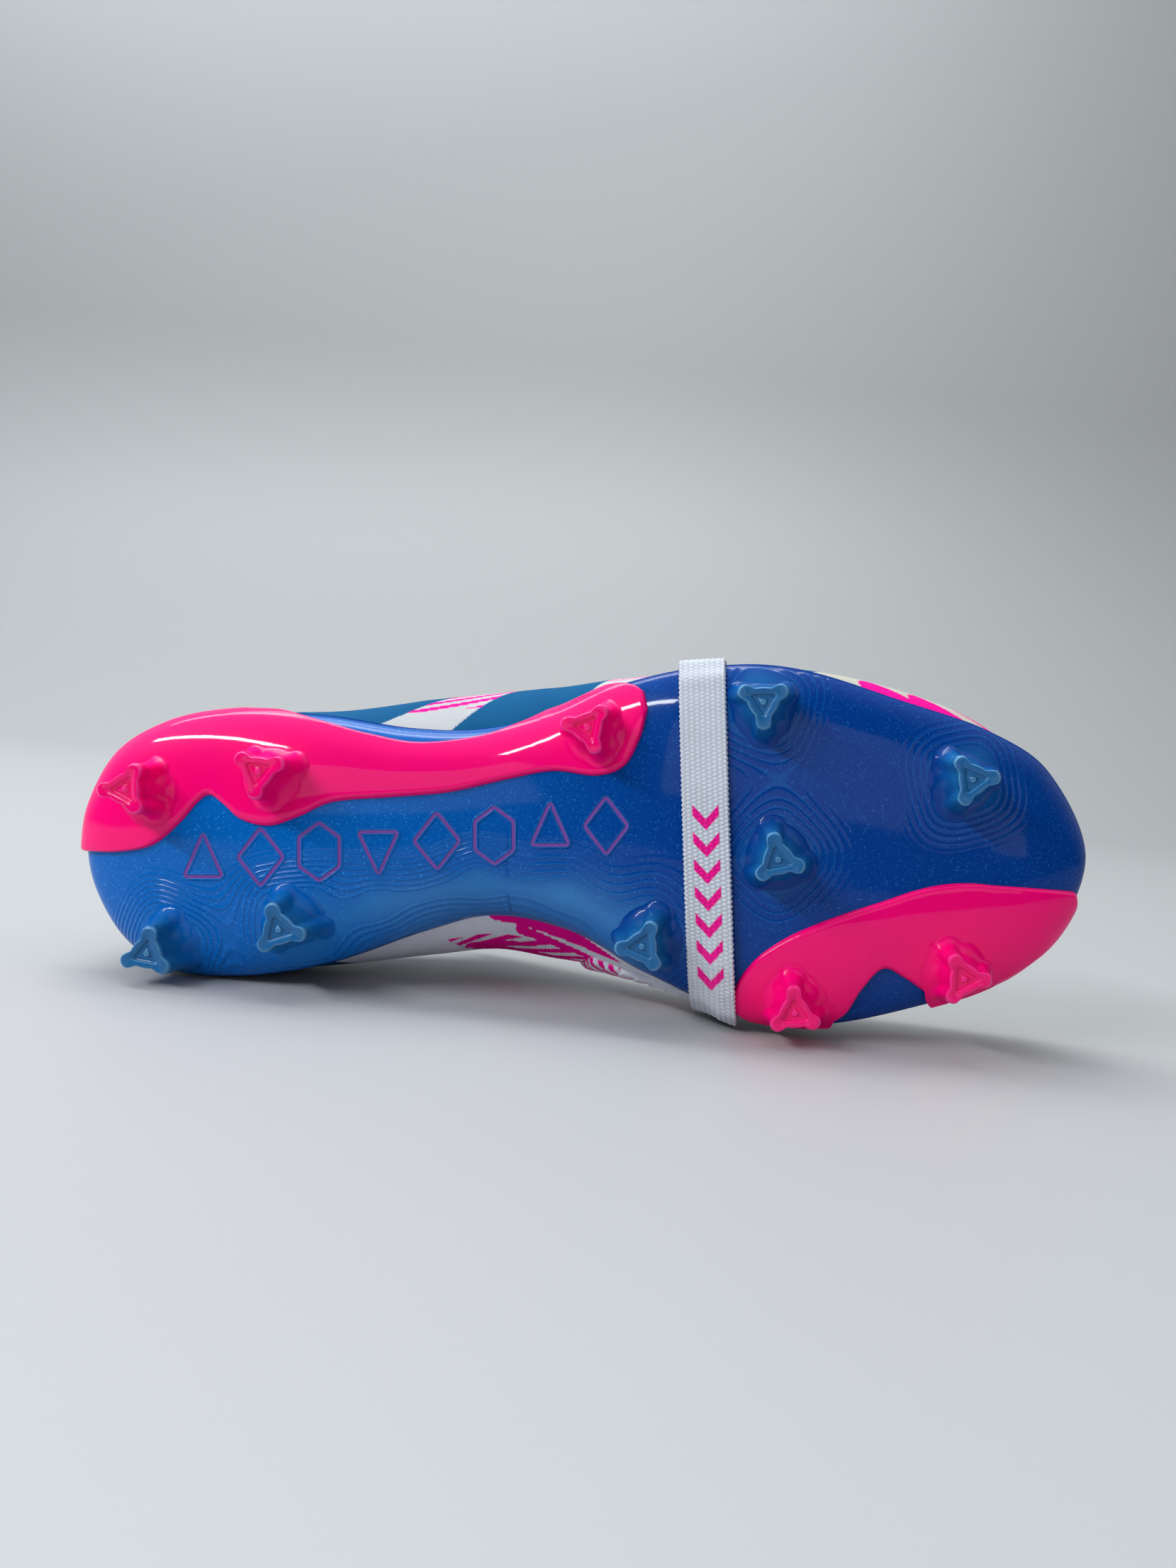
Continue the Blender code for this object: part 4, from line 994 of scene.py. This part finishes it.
def mark_outline(sides, centre, turn):
    """Closed polygon outline with lightly rounded corners, in plan."""
    corners = []
    for k in range(sides):
        angle = turn + 2 * math.pi * k / sides
        corners.append((centre[0] + MARK_REACH[0] * math.cos(angle),
                        centre[1] + MARK_REACH[1] * math.sin(angle)))
    corners = np.array(corners)
    steps = []
    per_side = 16
    for k in range(sides):
        a, b = corners[k], corners[(k + 1) % sides]
        for i in range(per_side):
            steps.append(a + (b - a) * i / per_side)
    steps = np.array(steps)
    for _ in range(2):
        steps = 0.25 * np.roll(steps, 1, axis=0) + 0.5 * steps + 0.25 * np.roll(steps, -1, axis=0)
    return steps


def build_marks(materials):
    """Each mark is a coloured channel between two low lips."""
    for index in range(MARKS):
        centre = tuple(first + step * index for first, step in zip(FIRST_MARK, MARK_STEP))
        sides = MARK_SIDES[index % len(MARK_SIDES)]
        line = mark_outline(sides, centre, math.pi / 2 * (1 if index % 2 else -1))
        ahead = unit(np.roll(line, -1, axis=0) - np.roll(line, 1, axis=0))
        aside = np.stack((-ahead[:, 1], ahead[:, 0]), axis=-1)
        channel = ribbon(line, aside, [(-MARK_LINE, 0.05), (0.0, 0.09), (MARK_LINE, 0.05)])
        lips = [ribbon(line, aside, [(side * MARK_LINE + shift, height) for shift, height in
                                     ((-0.3, -0.05), (-0.14, 0.25), (0.14, 0.25), (0.3, -0.05))])
                for side in (-1, 1)]
        add_piece(f"mark_channel_{index}", channel[0], channel[1], materials["groove"])
        for side, (points, faces) in enumerate(lips):
            shape = points.shape[:-1]
            fields = {"contour": np.zeros(shape), "frost_and_highlight": np.full(shape, LIP_FROST),
                      "heelward": heel_share(points[..., 0]), "gloss_and_wall_shade": np.ones(shape)}
            add_piece(f"mark_lip_{index}_{side}", points, faces, materials["plate"],
                      fields=fields)


def ribbon(line, aside, section):
    """A closed strip along a plan line, laid on the plate: section gives (aside, height) pairs."""
    columns = []
    for shift, height in section:
        plan = line + aside * shift
        columns.append(sole_surface(plan[:, 0], plan[:, 1],
                                    plate_swell(plan[:, 0], plan[:, 1]) + height))
    points = np.stack(columns, axis=1)
    return points, grid_faces(*points.shape[:2], wrap_rows=True)


def build_sole(materials):
    build_plate(materials)
    build_frame("heel_raised_frame", HEEL_FRAME, "heel_frame", materials)
    build_frame("forefoot_raised_frame", FOREFOOT_FRAME, "forefoot_frame", materials)
    for stud in STUDS:
        build_post(*stud, materials)
        build_tip(*stud, materials)
    build_marks(materials)


# ---- upper


def tapered_streak(x, t, start, end, half):
    """True inside a long streak that tapers to a point at its end; places are (x, t)."""
    distance, share = segment_distance(x, t * STREAK_REACH, (start[0], start[1] * STREAK_REACH),
                                       (end[0], end[1] * STREAK_REACH))
    return distance < half * (1 - share) ** 0.6


def quad(x, t, low, high, bottom, top):
    """True inside a leaning four-sided patch: low and high are x spans at bottom and top."""
    share = (t - bottom) / (top - bottom)
    left = low[0] + (high[0] - low[0]) * share
    right = low[1] + (high[1] - low[1]) * share
    return (share > 0) & (share < 1) & (x > left) & (x < right)


def hatch(x, t, pitch, lean, duty):
    return np.mod(x / pitch + t * lean, 1.0) < duty


def paint_upper(points, s, t):
    """Colours and relief of the upper: teal outside, white inside, cream over the toe."""
    x, side = points[..., 0], np.where(np.mod(s, LOOP) < LAST, 1.0, -1.0)
    paint = np.empty(points.shape)
    paint[:] = UPPER_WHITE
    relief = np.zeros(x.shape)
    lateral = side < 0
    toe_line = TOE_LINE[0] + TOE_LINE[1] * t
    paint[lateral & (x < toe_line)] = UPPER_TEAL
    heel_part = x < HEEL_LINE[0] + HEEL_LINE[1] * t
    paint[heel_part] = UPPER_TEAL
    toe = x > toe_line
    paint[toe] = UPPER_CREAM
    shards = (quad(x, t, (72, 94), (119, 138), 0.0, 0.62) |
              quad(x, t, (134, 152), (160, 178), 0.0, 0.5)) & lateral
    paint[shards] = UPPER_GREY
    paint[shards & (t > 0.19) & hatch(x, t, 22.0, -19.0, 0.5)] = PRINT_PINK
    medial = ~lateral & ~heel_part & ~toe
    for start, end, half in MEDIAL_STREAKS:
        paint[medial & tapered_streak(x, t, start, end, half)] = PRINT_PINK
    scales = medial & (quad(x, t, (98, 140), (104, 150), 0.2, 0.42) |
                       quad(x, t, (146, 172), (150, 178), 0.26, 0.46))
    paint[scales & hatch(x, t, 9.0, 16.0, 0.55)] = PRINT_PINK
    relief[scales] = np.mod(x[scales] / 5.0 + t[scales] * 3.0, 1.0)
    for start, end, half in TOE_STREAKS:
        paint[toe & tapered_streak(x, t, start, end, half)] = PRINT_PINK
    return paint, relief


def build_panel(name, first, last, columns, materials, node):
    """One textile panel of the upper, from its first station to its last."""
    s, t = np.meshgrid(np.linspace(first, last, columns), np.linspace(0.0, 1.0, PANEL_ROWS),
                       indexing="ij")
    points = upper_point(s, t) + upper_normal(s, t) * UPPER_HALF
    paint, relief = paint_upper(points, s, t)
    item = add_piece(name, points, grid_faces(columns, PANEL_ROWS), materials["upper"],
                     (node,), fields={"paint": paint, "relief": relief})
    thicken_inwards(item, points, materials["lining"], 2 * UPPER_HALF)


def build_strike_panel(materials):
    """Thin rubber panel with rows of overlapping fins on the inner side of the forefoot."""
    columns, rows = STRIKE_GRID
    s, t = np.meshgrid(np.linspace(*STRIKE_STATIONS, columns), np.linspace(*STRIKE_HEIGHTS, rows),
                       indexing="ij")
    middle = upper_point(s, t)
    x = middle[..., 0]
    along = np.minimum(s - STRIKE_STATIONS[0], STRIKE_STATIONS[1] - s) * STATION_MM
    across = np.minimum(t - STRIKE_HEIGHTS[0], STRIKE_HEIGHTS[1] - t) * THROAT_MM
    edge = rounded_over(np.minimum(along, across), STRIKE_ROUND)
    fin = np.mod((x + 30.0 * np.sin(6.0 * t)) / FIN_PITCH, 1.0)
    offset = UPPER_HALF - 0.2 + edge * (STRIKE_RISE + FIN_RISE * (1 - fin) ** 1.5)
    points = middle + upper_normal(s, t) * offset[..., None]
    paint = np.empty(points.shape)
    paint[:] = UPPER_WHITE
    band = (quad(x, t, (96, 150), (108, 150), 0.2, 0.36) |
            quad(x, t, (150, 190), (154, 190), 0.26, 0.5))
    paint[band & hatch(x, t, 3.1, -11.0, 0.52)] = PRINT_PINK
    item = add_piece("strike_fins", points, grid_faces(columns, rows), materials["rubber"],
                     ("strike_panel",),
                     fields={"paint": paint, "relief": np.zeros(x.shape)})
    thicken_inwards(item, points, materials["lining"], STRIKE_SHELL)


def faces_outwards(item, points):
    """Whether the normals of a sheet of the upper point away from the middle of the boot."""
    middle = place(points.reshape(-1, 3)).mean(axis=0)
    out = 0.0
    for polygon in item.data.polygons:
        out += float(np.dot(np.array(polygon.normal), np.array(polygon.center) - middle))
    return out > 0


def build_upper(materials):
    heel, toe = HEEL_SEAM + SEAM_GAP, TOE_SEAM + SEAM_GAP
    panels = (("toe_vamp", toe, LOOP - toe, 560, "upper_white", "toe_panel"),
              ("medial_side", heel, TOE_SEAM - SEAM_GAP, 520, "upper_white", "medial_quarter"),
              ("lateral_side", SEAM_GAP - TOE_SEAM, -heel, 520, "upper_teal", "lateral_quarter"),
              ("heel_back", SEAM_GAP - HEEL_SEAM, HEEL_SEAM - SEAM_GAP, 220, "upper_teal",
               "heel_quarter"))
    for name, first, last, columns, slot, node in panels:
        build_panel(name, first, last, columns, materials, node)
    build_strike_panel(materials)
    blue, teal = materials["blue_knit"], materials["teal_knit"]
    softened_node("heel_counter", blue, 1)
    softened_node("toe_puff", materials["stiffener"], 1)
    collar = softened_node("collar_lining", blue)
    softened_node("lasting_board", materials["board"], 1)
    sockliner = softened_node("sockliner", blue, 1)
    softened_node("medial_eyestay", materials["white_coat"], 1)
    softened_node("lateral_eyestay", teal, 1)
    tongue = softened_node("tongue", blue)
    softened_node("tongue_flap", teal, body="flap")


# ---- elastic band


def band_reach(angles, x):
    """Distance from the band's centre line to the CAD band's outer face at each angle."""
    node = frame["nodes"]["elastic_band"]
    corners = upright_of([vertex.co for vertex in node.data.vertices])
    polygons = [list(polygon.vertices) for polygon in node.data.polygons]
    tree = BVHTree.FromPolygons([Vector(corner) for corner in corners], polygons)
    far = 120.0
    reach = []
    for angle in angles:
        way = Vector((BAND_SLANT * math.cos(angle), math.cos(angle), math.sin(angle)))
        start = Vector((x, 0.0, BAND_CENTRE_Z)) + way * far
        hit, _, _, distance = tree.ray_cast(start, -way)
        reach.append(far - distance / way.length if hit is not None else np.nan)
    reach = np.array(reach)
    known = ~np.isnan(reach)
    return np.interp(angles, angles[known], reach[known], period=2 * math.pi)


def build_band(materials):
    """Woven elastic: fine ribs along it, a knotted edge and a printed row of chevrons."""
    coarse = 2 * math.pi * np.arange(BAND_KNOTS) / BAND_KNOTS
    across_knots = (-0.9, -0.3, 0.3, 0.9)
    sides = np.stack([band_reach(coarse, BAND_X + place_at * BAND_HALF_WIDTH)
                      for place_at in across_knots], axis=-1)
    around, columns = BAND_GRID
    rows = spline(sides, np.arange(around) / around * BAND_KNOTS, closed=True)
    angles = 2 * math.pi * np.arange(around) / around
    v = np.linspace(-1.0, 1.0, columns)
    reach = np.stack([np.interp(v, across_knots, row) for row in rows])
    middle = reach[:, columns // 2]
    flat = np.stack((np.cos(angles) * middle, np.sin(angles) * middle), axis=-1)
    step = np.linalg.norm(np.roll(flat, -1, axis=0) - flat, axis=1)
    run = np.concatenate(([0.0], np.cumsum(step)[:-1]))
    u = run[:, None] + 0.0 * v
    across = v[None, :] * BAND_HALF_WIDTH + 0.0 * u
    shifted = u + 0.5 * BAND_RIB * (np.floor(across / BAND_THREAD + 0.5) % 2)
    weave = (RIB_HEIGHT * np.cos(2 * math.pi * shifted / BAND_RIB)
             + THREAD_HEIGHT * np.cos(2 * math.pi * across / BAND_THREAD))
    edge = 1 - smooth(0.93, 1.0, np.abs(v))[None, :] * 0.9
    rim_wave = (RIM_WAVE * np.cos(2 * math.pi * u / RIM_PITCH)
                * smooth(0.9, 1.0, np.abs(across) / BAND_HALF_WIDTH))
    radius = reach + weave - (1 - edge) * 0.7
    y = np.cos(angles)[:, None] * radius
    z = BAND_CENTRE_Z + np.sin(angles)[:, None] * radius
    x = BAND_X + across + np.sign(across) * rim_wave + BAND_SLANT * y
    points = np.stack((x, y, z), axis=-1)
    paint = np.empty(points.shape)
    paint[:] = BAND_WHITE
    under = (z < 22.0) & (y > -12.0) & (y < 40.0)
    chevron = np.mod(y + 1.1 * np.abs(across), CHEVRON_PITCH) < CHEVRON_STROKE
    paint[under & chevron & (np.abs(across) < CHEVRON_REACH)] = PRINT_PINK
    # painted shade in the weave's hollows: the colour darkens where the ribs and threads dip
    rib_hollow_shade = 0.5 - 0.5 * np.cos(2 * math.pi * shifted / BAND_RIB)
    thread_hollow_shade = 0.5 - 0.5 * np.cos(2 * math.pi * across / BAND_THREAD)
    paint = paint * (1 - 0.26 * rib_hollow_shade ** 3 - 0.14 * thread_hollow_shade ** 4)[..., None]
    item = add_piece("elastic_strap", points, grid_faces(around, columns, wrap_rows=True),
                     materials["band"], ("elastic_band",), body=None,
                     fields={"paint": paint, "relief": np.zeros(x.shape)}, weld=0.0)
    thicken_inwards(item, points, materials["band"], BAND_THICKNESS)
    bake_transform(item)


# ---- stage, light and camera


def build_stage():
    """A pale floor that curves up into a backdrop."""
    width, front, back, radius, wall = SWEEP
    profile = [(front, 0.0), (back, 0.0)]
    for k in range(1, SWEEP_STEPS + 1):
        angle = math.pi / 2 * k / SWEEP_STEPS
        profile.append((back + radius * math.sin(angle), radius - radius * math.cos(angle)))
    profile.append((back + radius, wall))
    points = [(side * width / 2, y, z) for y, z in profile for side in (-1, 1)]
    faces = [(2 * k, 2 * k + 1, 2 * k + 3, 2 * k + 2) for k in range(len(profile) - 1)]
    mesh = bpy.data.meshes.new("studio_sweep")
    mesh.from_pydata(points, [], faces)
    mesh.shade_smooth()
    floor = add_object("studio_sweep", mesh)
    material, shader = new_material("sweep_paper", 0.5)
    nodes = Nodes(material)
    nodes.join(nodes.mottled(0.8, 2.0, FLOOR_COLOUR, 0.96), shader.inputs["Base Color"])
    mesh.materials.append(material)


def area_light(name, position, target, size, power, colour):
    light = bpy.data.lights.new(name, "AREA")
    light.shape = "RECTANGLE"
    light.size, light.size_y = size
    light.energy = power
    light.color = colour
    item = add_object(name, light)
    item.location = position
    item.rotation_euler = (Vector(target) - Vector(position)).to_track_quat("-Z", "Y").to_euler()


def build_lights():
    target = (0.0, 0.0, 0.05)
    area_light("overhead", (-0.5, 0.55, 1.7), target, (0.9, 0.9), 11.0, (1.0, 0.99, 0.96))
    area_light("fill", (0.3, -1.3, 0.35), target, (1.6, 0.5), 2.5, (0.96, 0.97, 1.0))
    area_light("window", (-0.85, -0.75, 0.8), target, (1.1, 0.06), 13.0, (0.93, 0.96, 1.0))
    area_light("wall_wash", (-1.2, 0.6, 2.6), (-1.0, 2.0, 0.9), (3.5, 0.6), 66.0, (0.93, 0.97, 1.0))
    bpy.context.scene.view_settings.view_transform = "Standard"
    world = bpy.data.worlds.new("room")
    world.use_nodes = True
    nodes = Nodes(world)
    direction = nodes.add("ShaderNodeSeparateXYZ")
    nodes.join(nodes.add("ShaderNodeTexCoord").outputs["Generated"], direction.inputs[0])
    lift = nodes.maths("MULTIPLY", direction.outputs["Z"], 1.2)
    share = nodes.maths("MULTIPLY", nodes.maths("ADD", direction.outputs["Y"], lift), 0.5)
    tone = nodes.ramp(nodes.maths("ADD", share, 0.5), [(0.45, ROOM_DARK), (0.85, ROOM_LIGHT)])
    background = world.node_tree.nodes["Background"]
    nodes.join(tone, background.inputs["Color"])
    background.inputs["Strength"].default_value = 1.0
    bpy.context.scene.world = world


def build_camera():
    camera = bpy.data.cameras.new("camera")
    camera.sensor_fit = "VERTICAL"
    camera.sensor_height = SENSOR
    camera.lens = FOCAL_SHARE * SENSOR
    camera.shift_x = VIEW_SHIFT
    camera.clip_start = 0.01
    item = add_object("camera", camera)
    right = LYING[:, 0]
    forward = LYING[:, 2]
    up = np.cross(right, forward)
    rotation = Matrix(np.stack((right, up, -forward), axis=-1).tolist()).to_4x4()
    item.matrix_world = Matrix.Translation(place(np.array(VIEW_POINT)[None])[0]) @ rotation
    bpy.context.scene.camera = item


build_camera()
build_stage()
build_lights()
MATERIALS = make_materials()
build_sole(MATERIALS)
build_upper(MATERIALS)
build_band(MATERIALS)
